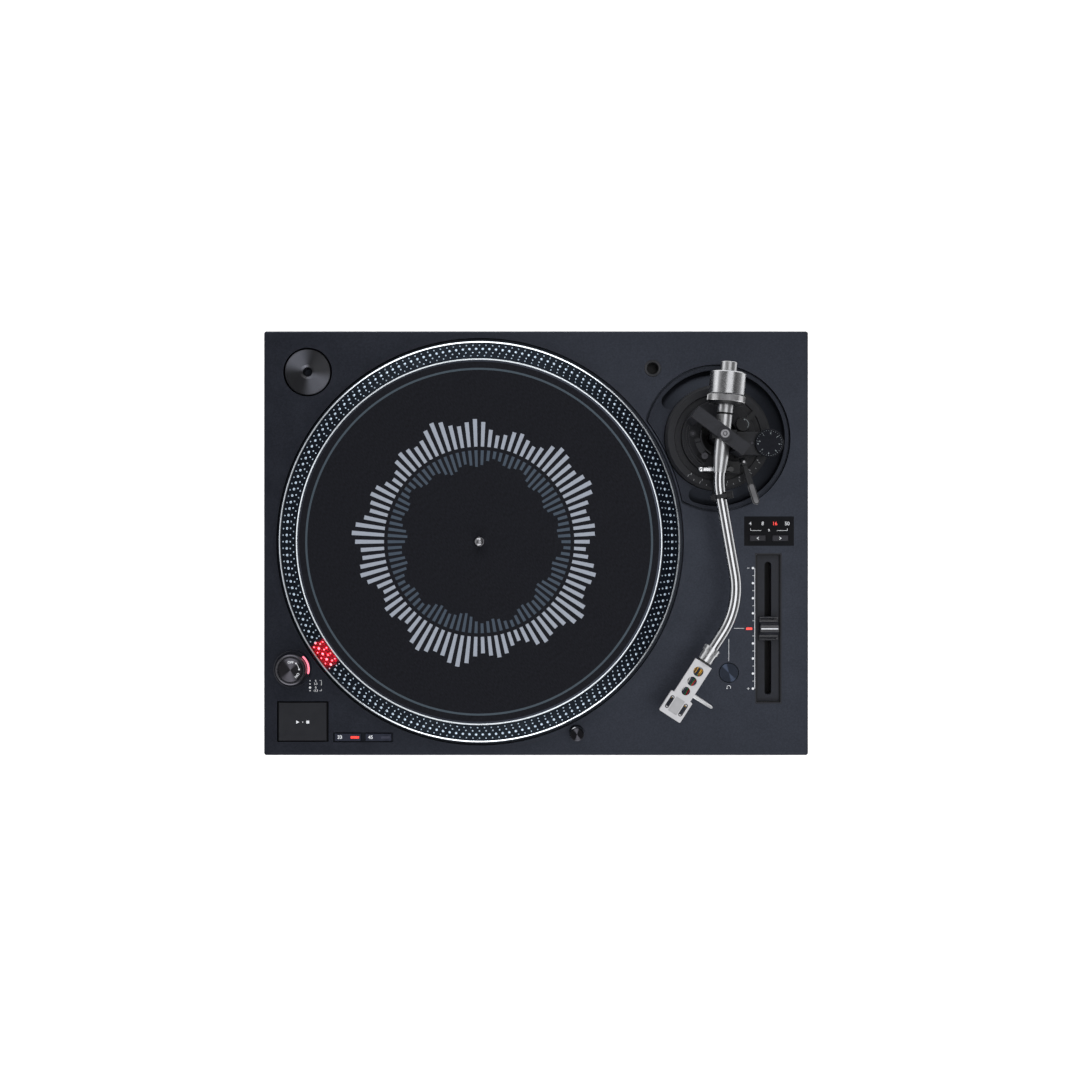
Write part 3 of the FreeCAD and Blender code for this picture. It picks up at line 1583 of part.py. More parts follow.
def make_lift_bar():
    height = lift_rod_z()
    ball = Vector(lift_ball_x, lift_rod_y, height)
    elbow = Vector(lift_plunger_x, lift_rod_y, height)
    bar = rod(ball, elbow, lift_rod_radius)
    knob = Part.makeSphere(lift_ball_radius, ball, elbow - ball)
    head = cylinder(lift_plunger_x, lift_rod_y, height - lift_head_radius, height + lift_head_radius,
                    lift_head_radius)
    head = bevel_top(head, small_bevel)
    plunger_low = lifter_top() - lift_plunger_length
    plunger = cylinder(lift_plunger_x, lift_rod_y, plunger_low, height, lift_rod_radius)
    return head.fuse([bar, knob, plunger]).removeSplitter()


def lever_place(inward):
    """Place on the cue lever's axis, moved towards the lifter."""
    towards = polar(0, 0, inward, lever_angle - 90)
    return Vector(lever_x, lever_y, z(lever_axis_height)) + towards


def make_cue_lever():
    hub = rod(lever_place(lever_hub_length / 2), lever_place(-lever_hub_length / 2), lever_hub_radius)
    shaft = rod(lever_place(lever_shaft_length + 2), lever_place(0), lever_shaft_radius)
    low = z(lever_axis_height) - lever_thickness / 2
    high = low + lever_thickness
    hub_centre = Vector(lever_x, lever_y, 0)
    neck = polar(lever_x, lever_y, lever_thin, lever_angle)
    grip_start = polar(lever_x, lever_y, lever_grip_start, lever_angle)
    grip_end = polar(lever_x, lever_y, lever_grip_end, lever_angle)
    thin = tapered_bar(hub_centre, neck, lever_thin_width, lever_neck_width, low, high)
    wide = tapered_bar(neck, grip_start, lever_neck_width, lever_neck_width, low, high)
    grip = stadium(grip_start, grip_end, lever_grip_width / 2, low - lever_grip_step, high + lever_grip_step)
    return hub.fuse([shaft, thin, wide, grip]).removeSplitter()


def make_antiskate_housing():
    low = z(stage_top_height)
    top = low + skate_height
    length = skate_x + skate_end - skate_inner_x
    body = block(skate_inner_x + length / 2, skate_y, low, top, length, skate_width)
    body = bevel_top(body, small_bevel)
    leg = tapered_bar(Vector(arm_x, arm_y, 0), bridge_point(bridge_front_reach + slide_gap, 180),
                      bridge_width + 2 * slide_gap, bridge_width + 2 * slide_gap, low, top)
    bore = cylinder(skate_x, skate_y, top - skate_stem_length - slide_gap, top + cut_over,
                    skate_stem_radius + shaft_gap)
    lock_room = cylinder(lock_x, lock_y, low, top, lock_radius + slide_gap)
    return body.cut([leg, bore, lock_room]).removeSplitter()


def make_antiskate_dial():
    base = stage_top_height + skate_height
    bottom = base + seat_gap
    top = bottom + skate_dial_height
    outline = [(0, base - skate_stem_length), (skate_stem_radius, base - skate_stem_length),
               (skate_stem_radius, bottom), (skate_dial_radius, bottom),
               (skate_dial_radius, top - small_bevel),
               (skate_dial_radius - small_bevel, top), (0, top)]
    return turned(skate_x, skate_y, [(radius, z(height)) for radius, height in outline])


def make_lock_lever():
    low = z(stage_top_height + seat_gap)
    centre = Vector(lock_x, lock_y, 0)
    tip = polar(lock_x, lock_y, lock_lever_length, lock_lever_angle)
    body = bevel_top(cylinder(lock_x, lock_y, low, low + lock_height, lock_radius), small_bevel)
    lever = stadium(centre, tip, lock_lever_width / 2, low, low + lock_lever_thickness)
    stem = cylinder(lock_x, lock_y, z(stage_top_height - stage_plate), low, lock_stem_radius)
    return body.fuse([lever, stem]).removeSplitter()


# Back of the case and its inside


def make_output_terminals():
    centre_z = base_z + bay_floor + bay_height / 2
    back = base_rear - bay_depth
    face = back + terminal_plate
    rear = Vector(0, 1, 0)
    plate = block(bay_x, back + terminal_plate / 2, centre_z - bay_height / 2, centre_z + bay_height / 2,
                  bay_length, terminal_plate)
    solids = [plate]
    for number in (-1, 0):
        start = Vector(bay_x + number * jack_spacing, face, centre_z)
        jack = Part.makeCylinder(jack_radius, jack_length, start, rear)
        jack = jack.fuse(Part.makeCylinder(jack_base_radius, jack_base, start, rear))
        bore = Part.makeCylinder(jack_bore_radius, jack_length, start + rear, rear)
        solids.append(jack.cut(bore).removeSplitter())
    start = Vector(bay_x + jack_spacing, face, centre_z)
    post = Part.makeCylinder(earth_radius, jack_length, start, rear)
    nut = Part.makeCylinder(earth_nut_radius, earth_nut_length, start + rear * 2, rear)
    solids.append(post.fuse(nut).removeSplitter())
    return Part.makeCompound(solids)


def make_ac_inlet():
    low = base_z + inlet_rise
    rear = Vector(0, 1, 0)
    centre = Vector(inlet_x, base_rear, low + inlet_height / 2)
    body = block(inlet_x, base_rear - inlet_depth / 2, low, low + inlet_height, inlet_length, inlet_depth)
    depth = inlet_socket_depth + cut_over
    cuts = [block(inlet_x, base_rear - inlet_socket_depth + depth / 2, centre.z - inlet_socket_radius,
                  centre.z + inlet_socket_radius, inlet_pin_spacing, depth)]
    pins = []
    for side in (-1, 1):
        floor = centre + Vector(side * inlet_pin_spacing / 2, -inlet_socket_depth, 0)
        cuts.append(Part.makeCylinder(inlet_socket_radius, depth, floor, rear))
        pins.append(Part.makeCylinder(inlet_pin_radius, inlet_pin_length, floor, rear))
    return body.cut(cuts).fuse(pins).removeSplitter()


def make_hinge_holders():
    low = z(deck_under - hinge_height)
    top = z(deck_under)
    middle = (low + top) / 2
    holders = []
    for x in (-hinge_x, hinge_x):
        body = block(x, case_rear - (hinge_depth + seat_gap) / 2, low, top, hinge_length,
                     hinge_depth - seat_gap)
        slot = block(x, case_rear - hinge_slot_depth / 2 + cut_over / 2, middle - hinge_slot_height / 2,
                     middle + hinge_slot_height / 2, hinge_slot_length, hinge_slot_depth + cut_over)
        holders.append(body.cut(slot))
    return Part.makeCompound(holders)


def board_corners(x, y, length, width):
    return [(x + side * (length / 2 - board_edge), y + end * (width / 2 - board_edge))
            for side in (-1, 1) for end in (-1, 1)]


def board_low():
    return base_z + base_floor + board_stand


def make_power_supply_board():
    low = board_low()
    top = low + board_thickness
    rear_y = supply_y + supply_width / 4
    front_y = supply_y - supply_width / 4
    solids = [
        block(supply_x, supply_y, low, top, supply_length, supply_width),
        block(supply_x - supply_length / 4, rear_y, top, top + transformer_height, transformer_length,
              transformer_width),
        block(supply_x - supply_length / 4, front_y, top, top + heat_sink_height, heat_sink_length,
              heat_sink_thickness)]
    for number in range(capacitor_count):
        solids.append(cylinder(supply_x + supply_length / 10 + number * capacitor_spacing, rear_y, top,
                               top + capacitor_height, capacitor_radius))
    return Part.makeCompound(solids)


def make_main_circuit_board():
    low = board_low()
    top = low + board_thickness
    header_y = main_y + main_width / 2 - header_depth
    solids = [block(main_x, main_y, low, top, main_length, main_width)]
    for place in (-1, 0, 1):
        x = main_x + place * main_length / 4
        solids.append(block(x, main_y, top, top + chip_height, chip_size, chip_size))
        solids.append(block(x, header_y, top, top + header_height, header_length, header_depth))
    return Part.makeCompound(solids)


PIECES = {
    "top_chassis": make_top_chassis,
    "bottom_case": make_bottom_case,
    "case_screws": make_case_screws,
    "main_circuit_board": make_main_circuit_board,
    "power_supply_board": make_power_supply_board,
    "switch_boards": make_switch_boards,
    "motor_stator": make_motor_stator,
    "bearing_housing": make_bearing_housing,
    "output_terminals": make_output_terminals,
    "ac_inlet": make_ac_inlet,
    "hinge_holders": make_hinge_holders,
    "headshell_holder": make_headshell_holder,
    "strobe_housing": make_strobe_housing,
    "strobe_window": make_strobe_window,
    "range_panel": make_range_panel,
    "fader_tray": make_fader_tray,
    "fader_unit": make_fader_unit,
    "arm_base_plate": make_arm_base_plate,
    "foot_front_left": lambda: make_foot(-foot_x, -foot_y),
    "foot_front_right": lambda: make_foot(foot_x, -foot_y),
    "foot_rear_left": lambda: make_foot(-foot_x, foot_y),
    "foot_rear_right": lambda: make_foot(foot_x, foot_y),
    "platter": make_platter,
    "platter_damping": make_platter_damping,
    "rotor_magnet": make_rotor_magnet,
    "spindle_shaft": make_spindle_shaft,
    "slipmat": make_slipmat,
    "adaptor_45": make_adaptor_45,
    "power_knob": make_power_knob,
    "start_stop_button": make_start_stop_button,
    "speed_button_33": lambda: make_speed_button(speed_33_x),
    "speed_button_45": lambda: make_speed_button(speed_45_x),
    "reset_button": make_reset_button,
    "range_down_button": lambda: make_range_button(-1),
    "range_up_button": lambda: make_range_button(1),
    "target_light": make_target_light,
    "pitch_knob": make_pitch_knob,
    "height_ring": make_height_ring,
    "arm_base": make_arm_base,
    "gimbal_bridge": make_gimbal_bridge,
    "bridge_screw": make_bridge_screw,
    "arm_rest": make_arm_rest,
    "lifter_housing": make_lifter_housing,
    "antiskate_housing": make_antiskate_housing,
    "arm_clamp": make_arm_clamp,
    "lift_bar": make_lift_bar,
    "cue_lever": make_cue_lever,
    "antiskate_dial": make_antiskate_dial,
    "lock_lever": make_lock_lever,
    "gimbal_yoke": make_gimbal_yoke,
    "arm_housing": make_arm_housing,
    "arm_tube": make_arm_tube,
    "balance_shaft": make_balance_shaft,
    "counterweight_bush": make_counterweight_bush,
    "counterweight": make_counterweight,
    "force_dial": make_force_dial,
    "locking_collar": make_locking_collar,
    "headshell": make_headshell,
    "finger_lift": make_finger_lift,
    "shell_leads": make_shell_leads,
}


os.makedirs("parts", exist_ok=True)
for name, make in PIECES.items():
    make().exportStep("parts/" + name + ".step")
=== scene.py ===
import math

import bmesh
import bpy
from mathutils import Matrix, Vector


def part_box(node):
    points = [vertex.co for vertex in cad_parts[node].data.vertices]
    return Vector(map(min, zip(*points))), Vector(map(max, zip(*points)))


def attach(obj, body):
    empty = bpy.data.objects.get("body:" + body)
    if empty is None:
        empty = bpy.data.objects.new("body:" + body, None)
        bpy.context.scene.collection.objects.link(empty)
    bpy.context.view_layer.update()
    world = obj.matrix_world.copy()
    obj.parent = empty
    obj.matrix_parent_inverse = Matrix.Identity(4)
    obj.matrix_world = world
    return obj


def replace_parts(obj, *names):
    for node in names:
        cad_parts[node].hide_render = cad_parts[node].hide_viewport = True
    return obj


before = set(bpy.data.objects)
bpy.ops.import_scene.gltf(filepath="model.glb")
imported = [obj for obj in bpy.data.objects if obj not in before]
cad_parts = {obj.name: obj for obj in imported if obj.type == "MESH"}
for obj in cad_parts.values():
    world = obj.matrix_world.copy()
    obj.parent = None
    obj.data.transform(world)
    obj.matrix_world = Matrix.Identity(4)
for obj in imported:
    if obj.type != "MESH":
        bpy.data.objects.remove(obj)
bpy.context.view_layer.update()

bl_info = {
    "name": "Mixing Deck Finisher",
    "version": (1, 0, 0),
    "blender": (4, 5, 0),
    "location": "View3D > Sidebar > Deck",
    "description": "Finishes, prints and small details of a direct-drive mixing deck",
    "category": "Object",
}

MM = 0.001
UP = Vector((0, 0, 1))
PRINT_SINK = 0.02 * MM
PRINT_RISE = 0.05 * MM


# Places on the deck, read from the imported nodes


def middle(node):
    low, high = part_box(node)
    return (low + high) / 2


def top(node):
    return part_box(node)[1].z


def half_width(node):
    low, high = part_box(node)
    return (high.x - low.x) / 2


def mm(across, ahead, rise=0.0):
    """Step in millimetres to the right, to the rear and up."""
    return Vector((across, ahead, rise)) * MM


def over(place, height):
    """The same place in plan, at another height."""
    return Vector((place.x, place.y, height))


plinth = top("top_chassis")
platter_axis = middle("platter")
mat_top = top("slipmat")
arm_axis = middle("bridge_screw")
arm_level = middle("arm_tube").z
ARM_TURN = math.radians(5.1)
SHELL_TURN = math.radians(32.8)
arm_back = Vector((math.sin(ARM_TURN), math.cos(ARM_TURN), 0))
shell_out = Vector((-math.sin(SHELL_TURN), -math.cos(SHELL_TURN), 0))
shell_side = Vector((-shell_out.y, shell_out.x, 0))
pivot = over(arm_axis, arm_level)


def round_from(place, radius, degrees, height=None):
    """Place at that radius and angle round another place."""
    turn = math.radians(degrees)
    spot = place + Vector((radius * math.cos(turn), radius * math.sin(turn), 0))
    return spot if height is None else over(spot, height)


# Sizes and colours that a user would change


def shade_of(red, green, blue):
    """Linear colour of an 8-bit screen colour."""
    levels = [value / 255 for value in (red, green, blue)]
    return tuple(v / 12.92 if v <= 0.04045 else ((v + 0.055) / 1.055) ** 2.4 for v in levels)


def colour_setting(name, description, *screen):
    return bpy.props.FloatVectorProperty(name=name, description=description, default=shade_of(*screen),
                                         subtype="COLOR", min=0, max=1)


def length_setting(name, description, millimetres):
    return bpy.props.FloatProperty(name=name, description=description, default=millimetres * MM,
                                   subtype="DISTANCE", unit="LENGTH", min=0)


def count_setting(name, description, count):
    return bpy.props.IntProperty(name=name, description=description, default=count, min=1)


class DeckColours(bpy.types.PropertyGroup):
    """Colours of the deck's finishes."""

    chassis: colour_setting("Chassis", "Fine textured paint of the plinth", 24, 25, 31)
    black: colour_setting("Black parts", "Moulded and painted black parts", 25, 26, 30)
    gloss: colour_setting("Gloss panel", "Smooth black of the range panel", 15, 16, 20)
    rubber: colour_setting("Rubber", "Base and feet", 22, 22, 24)
    felt: colour_setting("Felt", "Slipmat felt", 21, 22, 28)
    mat_ring: colour_setting("Mat ring", "Ring printed near the mat's edge", 62, 74, 84)
    motif_pale: colour_setting("Pale bars", "Long bars printed on the mat", 158, 165, 178)
    motif_slate: colour_setting("Slate bars", "Short bars printed on the mat", 62, 74, 88)
    ink: colour_setting("Marks", "Printed marks and figures", 240, 243, 248)
    band: colour_setting("Strobe band", "Dark sleeve under the strobe dots", 7, 10, 18)
    dots: colour_setting("Strobe dots", "Raised dots and the band's edges", 196, 214, 232)
    silver: colour_setting("Silver metal", "Arm tube, weight and fittings", 200, 201, 204)
    shell: colour_setting("Headshell", "Painted headshell", 206, 206, 210)
    navy: colour_setting("Reset button", "Turned face of the reset button", 36, 42, 54)
    lamp: colour_setting("Lamps", "Red lamps", 255, 66, 56)
    window: colour_setting("Strobe window", "Lit strobe window", 255, 130, 150)
    floor: colour_setting("Floor", "Floor and background", 250, 250, 250)


class DeckSizes(bpy.types.PropertyGroup):
    """Sizes of the details that the finishes add."""

    dot_small: length_setting("Small dot", "Radius of the small strobe dots", 0.62)
    dot_middle: length_setting("Middle dot", "Radius of the third row's dots", 0.72)
    dot_large: length_setting("Large dot", "Radius of the large strobe dots", 1.15)
    dot_rise: length_setting("Dot height", "How far a strobe dot stands out", 0.35)
    edge_line: length_setting("Edge line", "Width of the polished lines beside the band", 1.1)
    ring_radius: length_setting("Mat ring", "Radius of the printed ring", 141.7)
    ring_width: length_setting("Mat ring width", "Width of the printed ring", 1.7)
    motif_radius: length_setting("Motif radius", "Where the printed bars meet", 78.0)
    motif_gap: length_setting("Motif gap", "Gap between long and short bars", 3.0)
    motif_reach: length_setting("Motif reach", "Length of the longest bar", 27.0)
    motif_bar: length_setting("Bar width", "Width of a bar where the bars meet", 2.7)
    motif_count: count_setting("Bars", "Bars round the motif", 90)
    knob_teeth: count_setting("Power knob teeth", "Fine teeth round the power knob", 88)
    dial_teeth: count_setting("Force dial teeth", "Fine teeth round the force dial", 96)
    collar_teeth: count_setting("Collar teeth", "Teeth round the locking collar", 48)
    camera_height: length_setting("Camera height", "Camera over the plinth's top", 1248.4)
    frame_lens: bpy.props.FloatProperty(name="Lens", description="Focal length of the camera",
                                        default=50.0, min=10, max=300, subtype="DISTANCE_CAMERA")


# Finishes


def finish(name, colour, roughness, metallic=0.0, **sockets):
    """A new material with its even values on the shader's own sockets."""
    material = bpy.data.materials.new(name)
    material.use_nodes = True
    shader = material.node_tree.nodes["Principled BSDF"]
    shader.inputs["Base Color"].default_value = (*colour, 1)
    shader.inputs["Roughness"].default_value = roughness
    shader.inputs["Metallic"].default_value = metallic
    for socket, value in sockets.items():
        shader.inputs[socket.replace("_", " ")].default_value = value
    return material


def add_node(material, kind, **settings):
    node = material.node_tree.nodes.new(kind)
    for key, value in settings.items():
        if key in node.inputs:
            node.inputs[key].default_value = value
        else:
            setattr(node, key, value)
    return node


def join(material, output, socket):
    material.node_tree.links.new(output, socket)


def shader_socket(material, name):
    return material.node_tree.nodes["Principled BSDF"].inputs[name]


def piece_coordinates(material, centre=(0, 0, 0), stretch=(1, 1, 1), turn=(0, 0, 0)):
    """Coordinates that stay on the piece, from a centre, turned and stretched."""
    source = add_node(material, "ShaderNodeTexCoord")
    mapping = add_node(material, "ShaderNodeMapping", vector_type="TEXTURE", Location=centre,
                       Rotation=turn, Scale=stretch)
    join(material, source.outputs["Object"], mapping.inputs["Vector"])
    return mapping.outputs["Vector"]


def grain(material, size, detail=2.0, vector=None):
    """Noise whose grains are about that size."""
    noise = add_node(material, "ShaderNodeTexNoise", Scale=1 / size, Detail=detail)
    join(material, vector or piece_coordinates(material), noise.inputs["Vector"])
    return noise.outputs["Fac"]


def lathe_rings(material, spacing, centre, turn=(0, 0, 0)):
    """Fine rings round an axis, as a lathe tool leaves."""
    rings = add_node(material, "ShaderNodeTexWave", wave_type="RINGS", rings_direction="Z",
                     Scale=math.pi / (10 * spacing), Distortion=0.4, Detail=2.0)
    join(material, piece_coordinates(material, centre, turn=turn), rings.inputs["Vector"])
    return rings.outputs["Fac"]


def shifted(colour, share):
    return tuple(min(1, value * share) for value in colour)


def blend_colours(material, pattern, colours, places=(0.35, 0.65)):
    ramp = add_node(material, "ShaderNodeValToRGB")
    for element, place, colour in zip(ramp.color_ramp.elements, places, colours):
        element.position = place
        element.color = (*colour, 1)
    join(material, pattern, ramp.inputs["Fac"])
    join(material, ramp.outputs["Color"], shader_socket(material, "Base Color"))


def ranged(material, value, start, end, low, high, smooth=False):
    """A value between start and end spread out from low to high."""
    spread = add_node(material, "ShaderNodeMapRange",
                      interpolation_type="SMOOTHSTEP" if smooth else "LINEAR")
    for name, number in (("From Min", start), ("From Max", end), ("To Min", low), ("To Max", high)):
        spread.inputs[name].default_value = number
    join(material, value, spread.inputs["Value"])
    return spread.outputs["Result"]


def blend_roughness(material, pattern, low, high):
    join(material, ranged(material, pattern, 0.3, 0.7, low, high), shader_socket(material, "Roughness"))


def scale_colour(material, share):
    """Makes the base colour darker or lighter by a changing share."""
    base = shader_socket(material, "Base Color")
    scaled = add_node(material, "ShaderNodeVectorMath", operation="SCALE")
    join(material, base.links[0].from_socket, scaled.inputs["Vector"])
    join(material, share, scaled.inputs["Scale"])
    join(material, scaled.outputs["Vector"], base)
    return material


def along_axis(material, axis, centre=(0, 0, 0), turn=(0, 0, 0)):
    """Distance along one axis of the piece's own coordinates."""
    split = add_node(material, "ShaderNodeSeparateXYZ")
    join(material, piece_coordinates(material, centre, turn=turn), split.inputs["Vector"])
    return split.outputs[axis]


def painted_shade_below(material, low, high, share):
    """Painted shade: darkens the base colour from a height down to a lower one, so recesses and lower faces
    look shaded.
    """
    return scale_colour(material, ranged(material, along_axis(material, "Z"), low, high, share, 1.0))


def fan(material, centre, degrees, low, high, start=-0.2):
    """Painted highlight: two opposite fans of sheen painted into the base colour across a turned face."""
    around = add_node(material, "ShaderNodeTexGradient", gradient_type="RADIAL")
    turn = (0, 0, math.radians(degrees))
    join(material, piece_coordinates(material, centre, turn=turn), around.inputs["Vector"])
    twice = add_node(material, "ShaderNodeMath", operation="MULTIPLY")
    twice.inputs[1].default_value = 4 * math.pi
    wave = add_node(material, "ShaderNodeMath", operation="COSINE")
    join(material, around.outputs["Fac"], twice.inputs[0])
    join(material, twice.outputs[0], wave.inputs[0])
    return scale_colour(material, ranged(material, wave.outputs[0], start, 1.0, low, high, True))


def raise_pattern(material, pattern, strength, height):
    """Bump from a pattern, on top of any bump that is there."""
    bump = add_node(material, "ShaderNodeBump", Strength=strength, Distance=height)
    join(material, pattern, bump.inputs["Height"])
    normal = shader_socket(material, "Normal")
    if normal.is_linked:
        join(material, normal.links[0].from_socket, bump.inputs["Normal"])
    join(material, bump.outputs["Normal"], normal)


def textured_paint(name, colour, roughness=0.35, gloss=0.42):
    """Fine sand-textured paint on a casting."""
    material = finish(name, colour, roughness, Specular_IOR_Level=gloss, Specular_Tint=(0.7, 0.79, 1, 1))
    fine = grain(material, 0.4 * MM, 3.0)
    speckle = grain(material, 1.2 * MM, 3.0)
    cloud = grain(material, 18 * MM, 2.0)
    blend_colours(material, speckle, (shifted(colour, 0.6), shifted(colour, 1.45)), (0.3, 0.7))
    blend_roughness(material, cloud, roughness - 0.03, roughness + 0.04)
    raise_pattern(material, fine, 0.3, 0.04 * MM)
    return material


def moulded_plastic(name, colour, roughness=0.42, gloss=0.2, spread=0.12):
    material = finish(name, colour, roughness, Specular_IOR_Level=gloss)
    fine = grain(material, 0.25 * MM, 2.0)
    handled = grain(material, 6 * MM, 3.0)
    blend_colours(material, handled, (shifted(colour, 1 - spread), shifted(colour, 1 + spread)))
    blend_roughness(material, handled, roughness - 0.04, roughness + 0.06)
    raise_pattern(material, fine, 0.2, 0.03 * MM)
    return material


def polished_plastic(name, colour, roughness=0.12, **sockets):
    material = finish(name, colour, roughness, **sockets)
    smudge = grain(material, 9 * MM, 4.0)
    blend_colours(material, smudge, (shifted(colour, 0.88), shifted(colour, 1.12)))
    blend_roughness(material, smudge, roughness * 0.8, roughness * 1.3)
    raise_pattern(material, grain(material, 3 * MM), 0.04, 0.02 * MM)
    return material


def soft_rubber(name, colour):
    material = finish(name, colour, 0.72, Specular_IOR_Level=0.3)
    fine = grain(material, 0.3 * MM, 4.0)
    dust = grain(material, 12 * MM, 4.0)
    blend_colours(material, dust, (shifted(colour, 0.85), shifted(colour, 1.35)))
    blend_roughness(material, dust, 0.66, 0.8)
    raise_pattern(material, fine, 0.4, 0.05 * MM)
    return material


def turned_face(name, colour, centre, spacing, roughness=0.3, metallic=1.0, turn=(0, 0, 0)):
    """Face cut on a lathe: fine rings and a fan of light across them."""
    material = finish(name, colour, roughness, metallic, Anisotropic=0.7)
    rings = lathe_rings(material, spacing, centre, turn)
    blend_colours(material, rings, (shifted(colour, 0.82), shifted(colour, 1.18)), (0.1, 0.9))
    blend_roughness(material, grain(material, 2 * MM), roughness - 0.03, roughness + 0.03)
    raise_pattern(material, rings, 0.15, spacing * 0.05)
    tangent = add_node(material, "ShaderNodeTangent", direction_type="RADIAL", axis="Z")
    join(material, tangent.outputs["Tangent"], shader_socket(material, "Tangent"))
    return material


def satin_metal(name, colour, roughness=0.26, along=None):
    """Metal with a fine satin grain, drawn out along one direction where it is given."""
    material = finish(name, colour, roughness, 1.0)
    stretch = (1, 1, 1) if along is None else (1, 14, 1)
    turn = (0, 0, 0 if along is None else math.atan2(along.y, along.x) - math.pi / 2)
    vector = piece_coordinates(material, stretch=stretch, turn=turn)
    drawn = grain(material, 0.35 * MM, 3.0, vector)
    blend_colours(material, drawn, (shifted(colour, 0.95), shifted(colour, 1.03)))
    blend_roughness(material, grain(material, 5 * MM), roughness - 0.02, roughness + 0.03)
    return material


def chrome(name, colour, roughness=0.1):
    """Bright plating, hardly uneven."""
    material = finish(name, colour, roughness, 1.0)
    haze = grain(material, 7 * MM, 3.0)
    blend_colours(material, haze, (shifted(colour, 0.95), shifted(colour, 1.03)))
    blend_roughness(material, haze, roughness * 0.85, roughness * 1.25)
    return material


def felt_cloth(name, colour):
    material = finish(name, colour, 0.6, Specular_IOR_Level=0.1)
    fibres = grain(material, 0.9 * MM, 6.0,
                   piece_coordinates(material, stretch=(1, 3, 1), turn=(0, 0, 0.6)))
    crossed = grain(material, 0.5 * MM, 6.0,
                    piece_coordinates(material, stretch=(1, 3, 1), turn=(0, 0, -0.8)))
    nap = grain(material, 22 * MM, 3.0)
    blend_colours(material, fibres, (shifted(colour, 0.6), shifted(colour, 1.45)), (0.3, 0.75))
    blend_roughness(material, nap, 0.56, 0.66)
    raise_pattern(material, fibres, 0.5, 0.12 * MM)
    raise_pattern(material, crossed, 0.5, 0.12 * MM)
    return material


def printed_ink(name, colour, fade=0.82):
    """Screen-printed ink, a little thinner here and there."""
    material = finish(name, colour, 0.55, Specular_IOR_Level=0.3)
    blend_colours(material, grain(material, 0.35 * MM, 3.0), (shifted(colour, fade), colour), (0.3, 0.6))
    blend_roughness(material, grain(material, 1.5 * MM), 0.5, 0.62)
    return material


def lit_lamp(name, colour, strength, edge=0.75):
    """Lamp behind a moulded lens, a little uneven."""
    material = finish(name, colour, 0.3, Emission_Strength=strength)
    uneven = grain(material, 1.2 * MM, 2.0)
    blend_colours(material, uneven, (shifted(colour, edge), colour))
    ramp = shader_socket(material, "Base Color").links[0].from_socket
    join(material, ramp, shader_socket(material, "Emission Color"))
    raise_pattern(material, uneven, 0.1, 0.02 * MM)
    return material


def circuit_board(name, colour):
    material = finish(name, colour, 0.4, Coat_Weight=0.4)
    tracks = add_node(material, "ShaderNodeTexBrick", Scale=180.0, offset=0.5)
    join(material, piece_coordinates(material), tracks.inputs["Vector"])
    blend_colours(material, tracks.outputs["Fac"], (colour, shifted(colour, 1.7)))
    blend_roughness(material, grain(material, 4 * MM), 0.35, 0.5)
    raise_pattern(material, tracks.outputs["Fac"], 0.3, 0.03 * MM)
    return material


def give(material, *nodes):
    """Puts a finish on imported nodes."""
    for node in nodes:
        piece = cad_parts[node]
        if not piece.material_slots:
            piece.data.materials.append(material)
        for place in piece.material_slots:
            place.material = material


# Shapes


def finished_mesh(name, shape, smooth=30):
    bmesh.ops.remove_doubles(shape, verts=shape.verts, dist=1e-7)
    bmesh.ops.recalc_face_normals(shape, faces=shape.faces)
    mesh = bpy.data.meshes.new(name)
    shape.to_mesh(mesh)
    shape.free()
    mesh.polygons.foreach_set("use_smooth", [True] * len(mesh.polygons))
    mesh.set_sharp_from_angle(angle=math.radians(smooth))
    return mesh


def add_piece(name, shape, body, material, smooth=30):
    """One new piece that rides on a body."""
    piece = bpy.data.objects.new(name, finished_mesh(name, shape, smooth))
    bpy.context.scene.collection.objects.link(piece)
    piece.data.materials.append(material)
    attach(piece, body)
    return piece


def close_ring(shape, rings):
    """Faces between rows of points, last row joined to the first."""
    for index, ring in enumerate(rings):
        following = rings[(index + 1) % len(rings)]
        for step in range(len(ring)):
            ahead = (step + 1) % len(ring)
            shape.faces.new((ring[step], ring[ahead], following[ahead], following[step]))


def lathe(shape, outline, centre, steps=96):
    """A closed outline of radius and height turned round an upright axis."""
    rings = []
    for number in range(steps):
        turn = 2 * math.pi * number / steps
        rings.append([shape.verts.new((centre.x + radius * math.cos(turn),
                                       centre.y + radius * math.sin(turn), height))
                      for radius, height in outline])
    close_ring(shape, rings)


def toothed_sleeve(shape, inner, outer, depth, teeth, low, high, bevel, matrix=None):
    """Closed sleeve with straight teeth round its outside."""
    start = len(shape.verts)
    rings = []
    for number in range(2 * teeth):
        turn = math.pi * number / teeth
        reach = outer - depth * (number % 2)
        outline = [(inner, low), (reach - bevel, low), (reach, low + bevel), (reach, high - bevel),
                   (reach - bevel, high), (inner, high)]
        rings.append([shape.verts.new((radius * math.cos(turn), radius * math.sin(turn), height))
                      for radius, height in outline])
    close_ring(shape, rings)
    shape.verts.ensure_lookup_table()
    bmesh.ops.transform(shape, matrix=matrix or Matrix.Identity(4), verts=shape.verts[start:])


def plate(shape, outline, low, high):
    """Flat plate with an outline of places in plan."""
    floor = [shape.verts.new((place[0], place[1], low)) for place in outline]
    roof = [shape.verts.new((place[0], place[1], high)) for place in outline]
    shape.faces.new(floor)
    shape.faces.new(roof)
    for step in range(len(outline)):
        ahead = (step + 1) % len(outline)
        shape.faces.new((floor[step], floor[ahead], roof[ahead], roof[step]))


def strip(shape, start, end, width, low, high):
    """Straight printed or raised line between two places."""
    along = (end - start).to_2d().normalized()
    side = Vector((-along.y, along.x)) * (width / 2)
    first, last = start.to_2d(), end.to_2d()
    plate(shape, [first + side, last + side, last - side, first - side], low, high)


def disc(shape, place, radius, low, high, sides=20):
    plate(shape, [round_from(place, radius, 360 * number / sides) for number in range(sides)], low, high)


